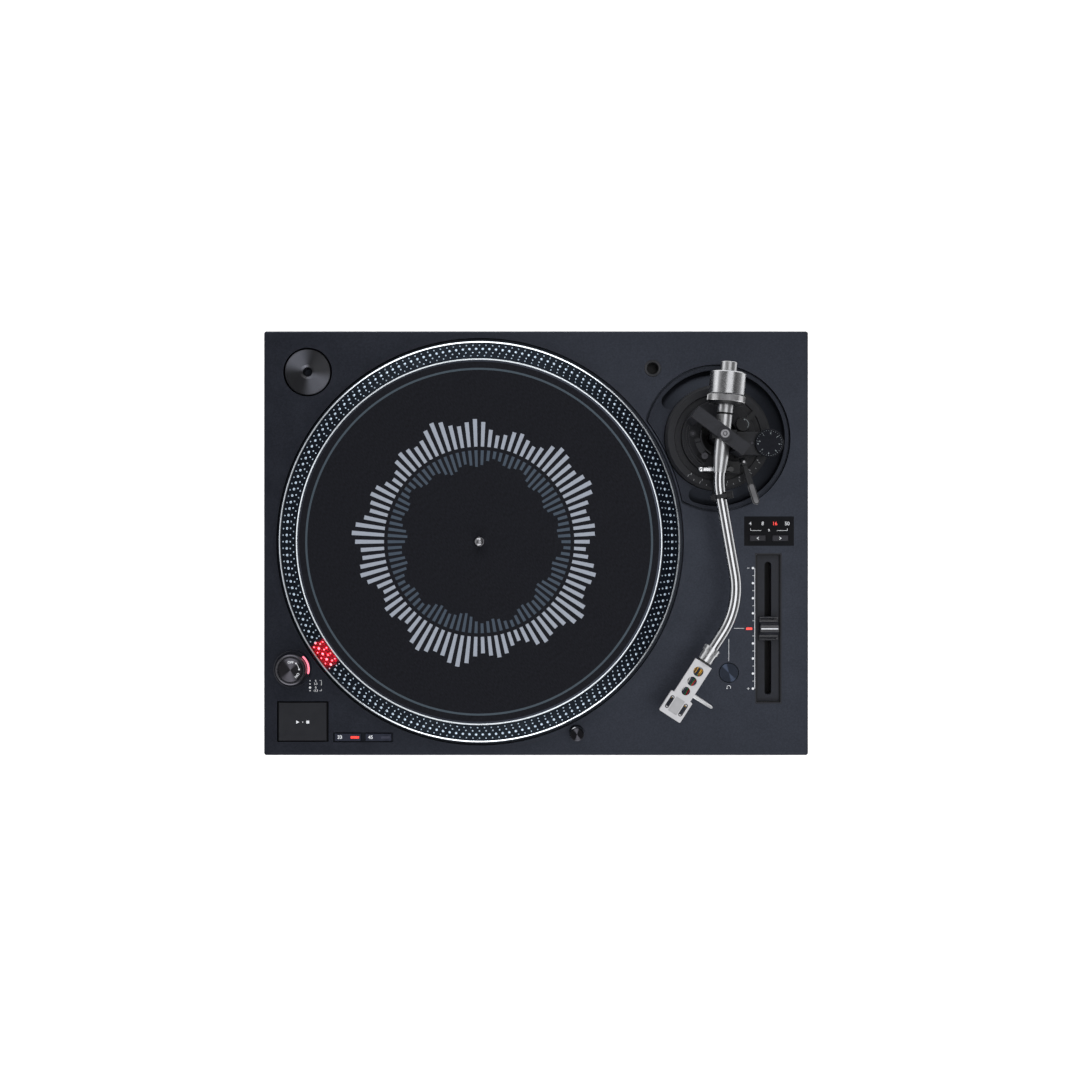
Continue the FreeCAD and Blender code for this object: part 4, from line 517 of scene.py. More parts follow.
def arc_strip(shape, place, radius, width, start, end, low, high, pieces=24):
    """Printed line along part of a circle."""
    angles = [start + (end - start) * number / pieces for number in range(pieces + 1)]
    outline = [round_from(place, radius + width / 2, angle) for angle in angles]
    outline += [round_from(place, radius - width / 2, angle) for angle in reversed(angles)]
    for number in range(pieces):
        plate(shape, [outline[number], outline[number + 1], outline[-number - 2], outline[-number - 1]],
              low, high)


def arrow_head(shape, tip, degrees, size, low, high):
    back = round_from(tip, -size, degrees)
    wing = size * 0.55
    plate(shape, [tip, round_from(back, wing, degrees + 90), round_from(back, wing, degrees - 90)],
          low, high)


def figures(shape, text, size, place, height, turn=0.0, matrix=None, weight=0.012):
    """Plain figures lying flat, face up, centred on a place."""
    curve = bpy.data.curves.new("figures", "FONT")
    curve.body = text
    curve.size = size
    curve.align_x = "CENTER"
    curve.align_y = "CENTER"
    curve.resolution_u = 3
    curve.offset = size * weight
    curve.extrude = (PRINT_RISE + PRINT_SINK) / 2
    holder = bpy.data.objects.new("figures", curve)
    bpy.context.scene.collection.objects.link(holder)
    bpy.context.view_layer.update()
    seen = holder.evaluated_get(bpy.context.evaluated_depsgraph_get())
    mesh = bpy.data.meshes.new_from_object(seen)
    flat = Matrix.Translation(over(place, height + (PRINT_RISE - PRINT_SINK) / 2))
    mesh.transform(matrix or flat @ Matrix.Rotation(math.radians(turn), 4, "Z"))
    shape.from_mesh(mesh)
    bpy.data.objects.remove(holder)
    bpy.data.curves.remove(curve)
    bpy.data.meshes.remove(mesh)


def on_print(height):
    """Lowest and highest level of a print on a surface."""
    return height - PRINT_SINK, height + PRINT_RISE


def skin(shape, rings):
    """Faces between rings of places, closed at both ends."""
    rows = [[shape.verts.new(place) for place in ring] for ring in rings]
    for lower, upper in zip(rows, rows[1:]):
        for step in range(len(lower)):
            ahead = (step + 1) % len(lower)
            shape.faces.new((lower[step], lower[ahead], upper[ahead], upper[step]))
    shape.faces.new(list(reversed(rows[0])))
    shape.faces.new(rows[-1])


def circle(radius, sides):
    angles = [2 * math.pi * step / sides for step in range(sides)]
    return [radius * Vector((math.cos(angle), math.sin(angle), 0)) for angle in angles]


def dome(shape, place, normal, radius, rise, sides=10):
    """Low round dot that stands out along a normal."""
    turn = normal.to_track_quat("Z", "Y").to_matrix()
    skin(shape, [[place + turn @ (spot + UP * (rise * lift)) for spot in circle(radius * share, sides)]
                 for share, lift in ((1.0, -0.15), (0.92, 0.35), (0.6, 0.85))])


def slotted_screw(shape, place, radius, low, high):
    """Round screw head with a raised rim round a cross recess."""
    middle_radius = radius * 0.62
    outline = [(0, low), (radius, low), (radius, high - radius * 0.2), (radius * 0.85, high),
               (middle_radius, high), (middle_radius, high - radius * 0.12), (0, high - radius * 0.12)]
    lathe(shape, outline, place, 32)
    for degrees in (35, 125):
        strip(shape, round_from(place, middle_radius, degrees), round_from(place, -middle_radius, degrees),
              radius * 0.22, high - radius * 0.2, high - radius * 0.02)


def prism(shape, outline, start, end, matrix):
    """Outline pulled along the matrix's own upright axis."""
    first = len(shape.verts)
    plate(shape, outline, start, end)
    shape.verts.ensure_lookup_table()
    bmesh.ops.transform(shape, matrix=matrix, verts=shape.verts[first:])


def turned_about(shape, outline, place, axis, steps=64):
    """Outline of radius and reach turned round an axis that lies anywhere."""
    first = len(shape.verts)
    lathe(shape, outline, Vector((0, 0, 0)), steps)
    shape.verts.ensure_lookup_table()
    bmesh.ops.transform(shape, matrix=stand_up(place, axis), verts=shape.verts[first:])


def wire(shape, places, radius, sides=10):
    """Round wire through a row of places."""
    rings = []
    for number, place in enumerate(places):
        before, after = places[max(0, number - 1)], places[min(len(places) - 1, number + 1)]
        turn = (after - before).to_track_quat("Z", "Y").to_matrix()
        rings.append([place + turn @ spot for spot in circle(radius, sides)])
    skin(shape, rings)


def blade(shape, places, sides=16):
    """Smooth bar through places, each with its half width and half height, lying flat."""
    rings = []
    for place, across, half_width, half_height in places:
        ring = []
        for spot in circle(1.0, sides):
            wide = math.copysign(abs(spot.x) ** 0.75, spot.x) * half_width
            high = math.copysign(abs(spot.y) ** 0.55, spot.y) * half_height
            ring.append(place + across * wide + UP * high)
        rings.append(ring)
    skin(shape, rings)


def upright(place):
    """Matrix that sets an upright shape over a place in plan."""
    return Matrix.Translation(over(place, 0))


def stand_up(place, axis):
    """Matrix that turns an upright shape to lie along an axis from a place."""
    return Matrix.Translation(place) @ axis.to_track_quat("Z", "Y").to_matrix().to_4x4()


# Pieces


class DECK_OT_plinth(bpy.types.Operator):
    """Finishes the plinth, its base, its screws and the feet"""

    bl_idname = "deck.plinth"
    bl_label = "Plinth and feet"

    def execute(self, context):
        colours = context.scene.deck_colours
        paint = textured_paint("chassis_paint", colours.chassis)
        # Painted shade: the plinth's paint darkens below its top face, so the well round the platter and
        # other recesses look shaded.
        give(painted_shade_below(paint, plinth - 2.5 * MM, plinth - 0.4 * MM, 0.2), "top_chassis")
        give(soft_rubber("base_rubber", colours.rubber), "bottom_case")
        give(satin_metal("screw_steel", shade_of(90, 90, 92), 0.4), "case_screws")
        give(moulded_plastic("holder_plastic", colours.black), "hinge_holders")
        feet = ("foot_front_left", "foot_front_right", "foot_rear_left", "foot_rear_right")
        give(soft_rubber("foot_rubber", colours.rubber), *feet)
        grip = soft_rubber("foot_grip_rubber", shifted(colours.rubber, 1.3))
        for node, body in zip(feet, ("foot_fl", "foot_fr", "foot_rl", "foot_rr")):
            shape = bmesh.new()
            radius = half_width(node)
            toothed_sleeve(shape, radius - 1.5 * MM, radius - 0.1 * MM, 0.5 * MM, 72, 3 * MM, 8.5 * MM,
                           0.4 * MM, upright(middle(node)))
            add_piece("foot_grip_" + body[-2:], shape, body, grip)
        return {"FINISHED"}


class DECK_OT_platter(bpy.types.Operator):
    """Finishes the platter and adds the strobe band with its dots and polished lines"""

    bl_idname = "deck.platter"
    bl_label = "Platter and strobe dots"

    ROWS = ((153.0, 171, "dot_small"), (155.7, 176, "dot_middle"), (158.9, 182, "dot_large"),
            (162.0, 188, "dot_small"))
    BAND_IN = 149.9 * MM
    BAND_OUT = 164.9 * MM
    BAND_DROP = 6.0 * MM

    def level(self, radius):
        """Height of the sloping band at a radius."""
        share = (radius - self.BAND_IN) / (self.BAND_OUT - self.BAND_IN)
        return top("platter") - self.BAND_DROP * share

    def line(self, shape, radius, width):
        """Narrow polished ring that stands just over the platter's edge."""
        inner, outer = radius - width / 2, radius + width / 2
        rise = 0.22 * MM
        outline = [(inner, self.level(max(inner, self.BAND_IN)) - rise),
                   (inner, self.level(max(inner, self.BAND_IN)) + rise / 2),
                   (radius, self.level(radius) + rise),
                   (outer, self.level(outer) + rise / 2), (outer, self.level(outer) - rise)]
        lathe(shape, outline, platter_axis, 256)

    def execute(self, context):
        colours, sizes = context.scene.deck_colours, context.scene.deck_sizes
        metal = turned_face("platter_metal", shade_of(64, 68, 78), over(platter_axis, 0), 0.5 * MM, 0.38)
        sleeve = polished_plastic("band_sleeve", colours.band, 0.42, Specular_IOR_Level=0.14,
                                  Specular_Tint=(0.62, 0.8, 1, 1))
        give(metal, "platter")
        give(soft_rubber("damping_rubber", colours.rubber), "platter_damping")
        give(satin_metal("magnet_ferrite", shade_of(60, 60, 62), 0.5), "rotor_magnet")
        give(satin_metal("spindle_steel", shade_of(140, 140, 144), 0.3), "spindle_shaft")
        band = bmesh.new()
        inner, outer = self.BAND_IN + 0.3 * MM, self.BAND_OUT - 0.3 * MM
        lathe(band, [(inner, self.level(inner) - 0.05 * MM), (inner, self.level(inner) + 0.05 * MM),
                     (outer, self.level(outer) + 0.05 * MM), (outer, self.level(outer) - 0.05 * MM)],
              platter_axis, 256)
        add_piece("strobe_band", band, "platter", sleeve)
        lines = bmesh.new()
        self.line(lines, self.BAND_OUT + 0.1 * MM, sizes.edge_line)
        self.line(lines, self.BAND_IN + 0.2 * MM, sizes.edge_line)
        bright = satin_metal("polished_edge", shade_of(236, 243, 250), 0.28)
        add_piece("strobe_lines", lines, "platter", bright)
        slope = math.atan2(self.BAND_DROP, self.BAND_OUT - self.BAND_IN)
        dots = bmesh.new()
        for radius, count, size in self.ROWS:
            for number in range(count):
                degrees = 360 * number / count
                place = round_from(platter_axis, radius * MM, degrees, self.level(radius * MM) + 0.05 * MM)
                outwards = round_from(Vector((0, 0, 0)), math.sin(slope), degrees, math.cos(slope))
                dome(dots, place, outwards, getattr(sizes, size), sizes.dot_rise)
        add_piece("strobe_dots", dots, "platter", self.dot_finish(colours.dots), 60)
        return {"FINISHED"}

    def dot_finish(self, colour):
        """Cast dots: part metal, so that they catch the lamps."""
        material = finish("strobe_dot", colour, 0.35, 0.75)
        blend_colours(material, grain(material, 1.5 * MM, 1.0), (shifted(colour, 0.88), colour))
        blend_roughness(material, grain(material, 1 * MM), 0.32, 0.42)
        return material


class DECK_OT_slipmat(bpy.types.Operator):
    """Finishes the felt and prints the ring and the bars on it"""

    bl_idname = "deck.slipmat"
    bl_label = "Slipmat"

    def reach(self, number, count):
        """Share of the longest bar, a slow swell round the mat."""
        turn = 2 * math.pi * number / count
        return 0.34 + 0.36 * math.sin(2.5 * turn) ** 2 + 0.3 * math.sin(8.5 * turn + 0.7) ** 2

    def execute(self, context):
        colours, sizes = context.scene.deck_colours, context.scene.deck_sizes
        give(felt_cloth("slipmat_felt", colours.felt), "slipmat")
        low, high = on_print(mat_top)
        ring = bmesh.new()
        inner, outer = (sizes.ring_radius + side * sizes.ring_width / 2 for side in (-1, 1))
        lathe(ring, [(inner, low), (outer, low), (outer, high), (inner, high)], platter_axis, 256)
        add_piece("mat_ring", ring, "mat", printed_ink("mat_ring_ink", colours.mat_ring))
        pale, slate = bmesh.new(), bmesh.new()
        for number in range(sizes.motif_count):
            degrees = 360 * number / sizes.motif_count
            length = sizes.motif_reach * self.reach(number, sizes.motif_count)
            inner = sizes.motif_radius
            self.bar(pale, degrees, inner, inner + length, sizes, low, high)
            inner -= sizes.motif_gap
            self.bar(slate, degrees, inner - length * 0.6, inner, sizes, low, high)
        add_piece("mat_bars_pale", pale, "mat", printed_ink("pale_mat_ink", colours.motif_pale))
        add_piece("mat_bars_slate", slate, "mat", printed_ink("slate_mat_ink", colours.motif_slate))
        return {"FINISHED"}

    def bar(self, shape, degrees, inner, outer, sizes, low, high):
        """One bar along a radius, as wide as its share of the circle allows."""
        share = sizes.motif_bar / sizes.motif_radius / 2
        turn = math.degrees(share)
        outline = [round_from(platter_axis, radius, degrees + side * turn)
                   for radius, side in ((inner, -1), (outer, -1), (outer, 1), (inner, 1))]
        plate(shape, outline, low, high)


class DECK_OT_adaptor(bpy.types.Operator):
    """Finishes the singles adaptor and the spare headshell holder"""

    bl_idname = "deck.adaptor"
    bl_label = "Adaptor and headshell holder"

    def execute(self, context):
        centre = middle("adaptor_45")
        metal = turned_face("adaptor_metal", shade_of(50, 51, 56), over(centre, 0), 0.35 * MM, 0.4, 0.6)
        # Painted highlight: fans of sheen painted across the adaptor's turned face.
        fan(metal, over(centre, 0), 128, 0.5, 3.4, -0.5)
        # Painted shade: the adaptor darkens below the plinth's top, where it sinks into its recess.
        give(painted_shade_below(metal, plinth - 1.5 * MM, plinth + 0.2 * MM, 0.1), "adaptor_45")
        rim = top("headshell_holder")
        metal = turned_face("holder_metal", shade_of(44, 45, 49), middle("headshell_holder"), 0.3 * MM,
                            0.36, 0.6)
        # Painted shade: the holder darkens inside, below its rim.
        give(painted_shade_below(metal, rim - 2 * MM, rim - 0.2 * MM, 0.1), "headshell_holder")
        return {"FINISHED"}


class DECK_OT_strobe_tower(bpy.types.Operator):
    """Finishes the strobe tower and the power knob, with its teeth and marks"""

    bl_idname = "deck.strobe_tower"
    bl_label = "Strobe tower and power knob"

    TICK_SIDE = ((10.5, -0.85), (10.5, -0.68), (11.3, -0.68), (12.4, -1.72), (12.4, -1.95), (11.3, -0.85))
    TICK_HALF = 0.11 * MM
    LEGEND_ROWS = ((-114.4, 0.45, "6"), (-117.1, 0.55, "3.3"), (-120.1, 0.95, "0"), (-122.7, 0.5, "-3.3"))
    LEGEND_DOTS, LEGEND_FIGURES, BRACKET = -188.1, -183.4, -178.6

    def execute(self, context):
        colours, sizes = context.scene.deck_colours, context.scene.deck_sizes
        centre = middle("power_knob")
        give(moulded_plastic("tower_plastic", shade_of(20, 22, 30), 0.3), "strobe_housing")
        give(lit_lamp("strobe_lens", colours.window, 1.1), "strobe_window")
        cap_top = top("power_knob")
        cap = turned_face("knob_metal", shade_of(58, 57, 62), over(centre, 0), 0.4 * MM, 0.34, 0.8)
        # Painted highlight: fans of sheen painted across the power knob's turned cap.
        give(fan(cap, over(centre, 0), 82, 0.6, 4.4, -0.3), "power_knob")
        shape = bmesh.new()
        knob_radius = half_width("power_knob")
        low = top("strobe_housing") + 0.6 * MM
        toothed_sleeve(shape, knob_radius - 2.4 * MM, knob_radius + 0.1 * MM, 0.4 * MM, sizes.knob_teeth,
                       low, cap_top - 0.75 * MM, 1.3 * MM, upright(centre))
        add_piece("power_knob_teeth", shape, "power_knob",
                  satin_metal("knob_teeth_metal", shade_of(56, 56, 61), 0.28), 20)
        ticks = bmesh.new()
        edge = [Vector(place) * MM for place in self.TICK_SIDE]
        on_edge = Matrix.Rotation(math.pi / 2, 4, "X")
        for number in range(sizes.knob_teeth):
            turn = Matrix.Rotation(2 * math.pi * number / sizes.knob_teeth, 4, "Z")
            matrix = Matrix.Translation(over(centre, cap_top)) @ turn @ on_edge
            prism(ticks, edge, -self.TICK_HALF, self.TICK_HALF, matrix)
        # The ticks are the bevel's real knurl ridges; their lighter metal is a painted glint where light
        # catches them.
        add_piece("power_knob_ticks", ticks, "power_knob",
                  satin_metal("tick_glint_metal", shade_of(112, 112, 118), 0.4))
        marks = bmesh.new()
        level = on_print(cap_top)
        figures(marks, "OFF", 2.9 * MM, centre + mm(0.3, 6.3), cap_top)
        figures(marks, "ON", 2.9 * MM, round_from(centre, 7.0 * MM, -38), cap_top, -128)
        arc_strip(marks, centre, 7.2 * MM, 0.35 * MM, 10, 48, *level)
        arrow_head(marks, round_from(centre, 7.2 * MM, 58), 148, 1.6 * MM, *level)
        arrow_head(marks, round_from(centre, 7.2 * MM, -4), -94, 1.6 * MM, *level)
        add_piece("power_knob_marks", marks, "power_knob", printed_ink("knob_ink", colours.ink))
        self.legend(colours)
        return {"FINISHED"}

    def legend(self, colours):
        """Key to the strobe rows: a dot and a figure for each, and a bracket."""
        shape = bmesh.new()
        level = on_print(plinth)
        for y, radius, text in self.LEGEND_ROWS:
            disc(shape, mm(self.LEGEND_DOTS, y), radius * MM, *level)
            figures(shape, text, 2.5 * MM, mm(self.LEGEND_FIGURES, y), plinth)
        right = self.BRACKET
        for start, end in (((right - 1.6, -114.1), (right, -114.1)), ((right, -114.0), (right, -118.3)),
                           ((right, -121.4), (right, -122.9)), ((right - 1.6, -122.8), (right, -122.8))):
            strip(shape, mm(*start), mm(*end), 0.28 * MM, *level)
        add_piece("strobe_legend", shape, "deck", printed_ink("legend_ink", colours.ink))


class DECK_OT_start_stop(bpy.types.Operator):
    """Finishes the start and stop button and prints its signs"""

    bl_idname = "deck.start_stop"
    bl_label = "Start and stop button"

    START_SPOT, DOT_SPOT, STOP_SPOT = (-4.2, -0.4), (0, -0.4), (4.2, -0.4)
    TRIANGLE = ((-1.2, -1.4), (1.4, 0), (-1.2, 1.4))
    SQUARE = ((-1.2, -1.2), (1.2, -1.2), (1.2, 1.2), (-1.2, 1.2))

    def execute(self, context):
        colours = context.scene.deck_colours
        height = top("start_stop_button")
        plastic = moulded_plastic("button_plastic", shade_of(40, 41, 45), 0.46, 0.1, 0.04)
        # Painted shade: the button darkens round its edges, below its top face.
        give(painted_shade_below(plastic, height - 0.5 * MM, height - 0.15 * MM, 0.2), "start_stop_button")
        shape = bmesh.new()
        level = on_print(height)
        centre = over(middle("start_stop_button"), 0)
        for spot, corners in ((self.START_SPOT, self.TRIANGLE), (self.STOP_SPOT, self.SQUARE)):
            plate(shape, [centre + mm(*spot) + mm(*corner) for corner in corners], *level)
        disc(shape, centre + mm(*self.DOT_SPOT), 0.4 * MM, *level)
        add_piece("start_stop_signs", shape, "start_button", printed_ink("button_ink", colours.ink))
        return {"FINISHED"}


class DECK_OT_speed_buttons(bpy.types.Operator):
    """Finishes the two speed buttons, with their figures and lamps"""

    bl_idname = "deck.speed_buttons"
    bl_label = "Speed buttons"

    def execute(self, context):
        colours = context.scene.deck_colours
        plastic = moulded_plastic("speed_button_plastic", shade_of(38, 41, 54), 0.4)
        edge = top("speed_button_33")
        # Painted shade: the buttons darken round their edges, below their top faces.
        painted_shade_below(plastic, edge - 0.45 * MM, edge - 0.1 * MM, 0.15)
        give(plastic, "speed_button_33", "speed_button_45")
        ink = printed_ink("speed_ink", colours.ink)
        lit = lit_lamp("speed_lamp_lit", colours.lamp, 1.0)
        dark = polished_plastic("speed_lamp_dark", shade_of(58, 60, 74), 0.25)
        for text, lamp in (("33", lit), ("45", dark)):
            node, body = "speed_button_" + text, "button_" + text
            centre, height = middle(node), top(node)
            shape = bmesh.new()
            figures(shape, text, 4.0 * MM, centre + mm(-6.6, 0), height, weight=0.02)
            add_piece("speed_figures_" + text, shape, body, ink)
            window = bmesh.new()
            spot = centre + mm(5.9, 0)
            half = mm(3.5, 0)
            strip(window, spot - half, spot + half, 1.9 * MM, height - 0.3 * MM, height + 0.12 * MM)
            bmesh.ops.bevel(window, geom=window.edges[:], offset=0.1 * MM, segments=2, affect="EDGES")
            add_piece("speed_lamp_" + text, window, body, lamp)
        return {"FINISHED"}


class DECK_OT_target_light(bpy.types.Operator):
    """Finishes the pop-up light and adds its lens"""

    bl_idname = "deck.target_light"
    bl_label = "Target light"

    def execute(self, context):
        centre, height = middle("target_light"), top("target_light")
        metal = satin_metal("light_metal", shade_of(44, 44, 48), 0.2)
        # Painted highlight: fans of sheen painted across the target light's cap.
        give(fan(metal, over(centre, 0), 100, 0.3, 3.0, 0.3), "target_light")
        radius = half_width("target_light")
        lens = bmesh.new()
        towards = (platter_axis - centre).to_2d().normalized().to_3d()
        place = over(centre, height - 4.2 * MM) + towards * (radius - 0.55 * MM)
        dome(lens, place, towards, 2.0 * MM, 0.8 * MM, 24)
        add_piece("target_light_lens", lens, "light", lit_lamp("lens_glow", shade_of(236, 240, 246), 0.5))
        band = bmesh.new()
        toothed_sleeve(band, radius - 1.0 * MM, radius + 0.06 * MM, 0.3 * MM, 40, height - 1.9 * MM,
                       height - 0.9 * MM, 0.2 * MM, upright(centre))
        add_piece("target_light_grip", band, "light", satin_metal("light_grip", shade_of(62, 62, 67), 0.25))
        return {"FINISHED"}


class DECK_OT_range_panel(bpy.types.Operator):
    """Finishes the pitch range panel, with its figures and buttons"""

    bl_idname = "deck.range_panel"
    bl_label = "Pitch range panel"

    FIGURE_ROW = 6.2
    BRACKET_ENDS = (-15.4, 15.2)
    CHEVRON = ((1.0, 0), (-0.9, 1.3), (-0.9, 0.7), (0.05, 0), (-0.9, -0.7), (-0.9, -1.3))

    def execute(self, context):
        colours = context.scene.deck_colours
        centre, height = middle("range_panel"), top("range_panel")
        give(polished_plastic("panel_gloss", colours.gloss, 0.4, Specular_IOR_Level=0.07), "range_panel")
        give(moulded_plastic("range_button_plastic", shade_of(42, 42, 48), 0.4), "range_down_button",
             "range_up_button")
        ink = printed_ink("panel_ink", colours.ink)
        shape = bmesh.new()
        level = on_print(height)
        row = self.FIGURE_ROW * MM
        for text, x in (("4", -15.6), ("8", -5.3), ("50", 15.1)):
            figures(shape, text, 4.2 * MM, centre + Vector((x * MM, row, 0)), height, weight=0.004)
        ends = self.BRACKET_ENDS
        for x in ends:
            strip(shape, centre + mm(x, 2.4), centre + mm(x, 0.4), 0.3 * MM, *level)
        for start, end in ((ends[0], -6.5), (6.5, ends[1])):
            strip(shape, centre + mm(start, 0.5), centre + mm(end, 0.5),
                  0.3 * MM, *level)
        figures(shape, "%", 2.6 * MM, centre + mm(0, 0.7), height)
        add_piece("range_figures", shape, "deck", ink)
        red = bmesh.new()
        figures(red, "16", 4.2 * MM, centre + Vector((4.8 * MM, row, 0)), height, weight=0.004)
        add_piece("range_lit_figure", red, "deck", lit_lamp("range_lamp", colours.lamp, 1.0))
        for node, body, side in (("range_down_button", "range_down", -1),
                                 ("range_up_button", "range_up", 1)):
            sign = bmesh.new()
            spot = over(middle(node), 0)
            corners = [spot + mm(across * side, ahead) for across, ahead in self.CHEVRON]
            low, high = on_print(top(node))
            plate(sign, [corners[0], corners[1], corners[2], corners[3]], low, high)
            plate(sign, [corners[0], corners[3], corners[4], corners[5]], low, high)
            add_piece(body + "_sign", sign, body, ink)
        return {"FINISHED"}


class DECK_OT_pitch_fader(bpy.types.Operator):
    """Finishes the pitch fader, its knob, scale and lamp"""

    bl_idname = "deck.pitch_fader"
    bl_label = "Pitch fader"

    STEP = 12.54 * MM
    # Inset and width of the painted shadow strips in the tray's recess.
    SHADE_LINE_INSET = 4.575 * MM
    SHADE_LINE_WIDTH = 0.75 * MM
    KNOB_SIDE = ((10.0, -2.6), (10.0, 0.9), (9.6, 1.5), (8.8, 1.5), (8.2, 1.0), (7.2, 0.5), (6.0, 0.7),
                 (4.9, 1.9), (4.0, 4.2), (3.2, 6.6))

    def execute(self, context):
        colours = context.scene.deck_colours
        centre = middle("pitch_knob")
        give(moulded_plastic("tray_plastic", shade_of(34, 36, 43), 0.4), "fader_tray")
        self.recess_shade_lines()
        give(moulded_plastic("fader_body", shade_of(20, 20, 22), 0.5), "fader_unit")
        ink = printed_ink("scale_ink", colours.ink)
        self.knob_details(centre, ink)
        self.scale(centre, ink)
        lamp = bmesh.new()
        spot = over(centre, 0) + mm(-16.0, -0.3)
        half = mm(2.5, 0)
        strip(lamp, spot - half, spot + half, 1.8 * MM, plinth - 0.3 * MM, plinth + 0.15 * MM)
        bmesh.ops.bevel(lamp, geom=lamp.edges[:], offset=0.12 * MM, segments=2, affect="EDGES")
        add_piece("pitch_centre_lamp", lamp, "deck", lit_lamp("pitch_lamp", colours.lamp, 1.0))
        return {"FINISHED"}

    def recess_shade_lines(self):
        """Painted shadow: black strips against the walls of the tray's recess, where the walls shade its
        floor.
        """
        low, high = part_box("fader_tray")
        inset = self.SHADE_LINE_INSET
        left, right, near, far = low.x + inset, high.x - inset, low.y + inset, high.y - inset
        shape = bmesh.new()
        for start, end in (((left, near), (left, far)), ((right, near), (right, far)),
                           ((left, near), (right, near)), ((left, far), (right, far))):
            strip(shape, Vector((*start, 0)), Vector((*end, 0)), self.SHADE_LINE_WIDTH,
                  plinth - 3.02 * MM, plinth - 0.3 * MM)
        add_piece("tray_shade_line", shape, "deck", moulded_plastic("tray_shade_line_plastic", shade_of(7, 7, 9), 0.4))

    def knob_details(self, centre, ink):
        """The knob, hollowed either side of its ridge, with a grooved grip and a white line."""
        low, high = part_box("pitch_knob")
        half = (high.x - low.x) / 2
        rise = high.z - plinth
        across = Matrix(((0, 0, 1, centre.x), (1, 0, 0, centre.y), (0, 1, 0, plinth), (0, 0, 0, 1)))
        profile = [Vector(place) * MM for place in (*self.KNOB_SIDE, (2.7, rise / MM))]
        profile += [Vector((-place.x, place.y)) for place in reversed(profile)]
        shape = bmesh.new()
        prism(shape, profile, -half, half, across)
        bmesh.ops.recalc_face_normals(shape, faces=shape.faces)
        ends = [edge for edge in shape.edges if abs(edge.verts[0].co.x - edge.verts[1].co.x) < 1e-6]
        bmesh.ops.bevel(shape, geom=ends, offset=0.3 * MM, segments=2, affect="EDGES", clamp_overlap=True)
        stem = [Vector(place) * MM for place in ((2, 3), (2, -3), (-2, -3), (-2, 3))]
        plate(shape, [over(centre, 0) + place.to_3d() for place in stem], low.z, plinth - 2.6 * MM)
        knob = add_piece("pitch_knob_cap", shape, "pitch_slider",
                         moulded_plastic("pitch_knob_plastic", shade_of(31, 32, 39), 0.28, 0.4), 40)
        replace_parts(knob, "pitch_knob")
        grip = bmesh.new()
        for number in range(5):
            reach = 1.35 + 0.62 * number
            height = rise / MM if reach < 2.7 else 6.9 - (reach - 2.7) * 1.9
            outline = [Vector((reach + step, height + lift)) * MM
                       for step, lift in ((-0.2, -0.3), (-0.2, 0.02), (0.2, 0.02), (0.2, -0.5))]
            prism(grip, outline, -half + 0.9 * MM, half - 0.9 * MM, across)
        add_piece("pitch_knob_grip", grip, "pitch_slider",
                  moulded_plastic("grip_plastic", shade_of(88, 88, 91), 0.5))
        line = bmesh.new()
        reach = Vector((half - 0.7 * MM, 0, 0))
        strip(line, centre - reach, centre + reach, 0.95 * MM, high.z - 0.3 * MM, high.z + 0.08 * MM)
        add_piece("pitch_knob_line", line, "pitch_slider", ink)

    def scale(self, centre, ink):
        """Dots, ticks and a long line beside the tray, and the lines to the reset button."""
        shape = bmesh.new()
        level = on_print(plinth)
        foot = over(centre, 0)
        right, left = -11.4 * MM, -12.9 * MM
        strip(shape, foot + Vector((right, 4 * self.STEP, 0)), foot + Vector((right, -4 * self.STEP, 0)),
              0.4 * MM, *level)
        for number in range(-8, 9):
            y = number * self.STEP / 2
            if number % 2:
                strip(shape, foot + Vector((left - 0.4 * MM, y, 0)), foot + Vector((right, y, 0)),
                      0.35 * MM, *level)
            elif number:
                disc(shape, foot + Vector((left, y, 0)), 1.0 * MM, *level)
        for side in (1, -1):
            spot = foot + Vector((-16.8 * MM, side * 4 * self.STEP, 0))
            half = mm(1.0, 0)
            strip(shape, spot - half, spot + half, 0.35 * MM, *level)
            if side < 0:
                rise = mm(0, 1.0)
                strip(shape, spot - rise, spot + rise, 0.35 * MM, *level)
        reset = over(middle("reset_button"), 0)
        strip(shape, reset + mm(0, 9.6), Vector((reset.x, centre.y, 0)) - mm(0, 8.9),
              0.3 * MM, *level)
        strip(shape, Vector((reset.x + 4.3 * MM, centre.y, 0)), Vector((reset.x + 12.8 * MM, centre.y, 0)),
              0.3 * MM, *level)
        add_piece("pitch_scale", shape, "deck", ink)


class DECK_OT_reset_button(bpy.types.Operator):
    """Finishes the reset button and prints its sign"""

    bl_idname = "deck.reset_button"
    bl_label = "Reset button"

    def execute(self, context):
        colours = context.scene.deck_colours
        centre = middle("reset_button")
        metal = turned_face("reset_metal", colours.navy, over(centre, 0), 0.35 * MM, 0.32, 0.8)
        # Painted highlight: fans of sheen painted across the reset button's turned face.
        give(fan(metal, over(centre, 0), 120, 0.7, 2.6, 0.7), "reset_button")
        sign = bmesh.new()
        level = on_print(plinth)
        spot = over(centre, 0) + mm(0, -12.2)
        arc_strip(sign, spot, 1.5 * MM, 0.4 * MM, -40, 210, *level)
        arrow_head(sign, round_from(spot, 1.5 * MM, 240), -35, 1.3 * MM, *level)
        add_piece("reset_sign", sign, "deck", printed_ink("reset_ink", colours.ink))
        return {"FINISHED"}


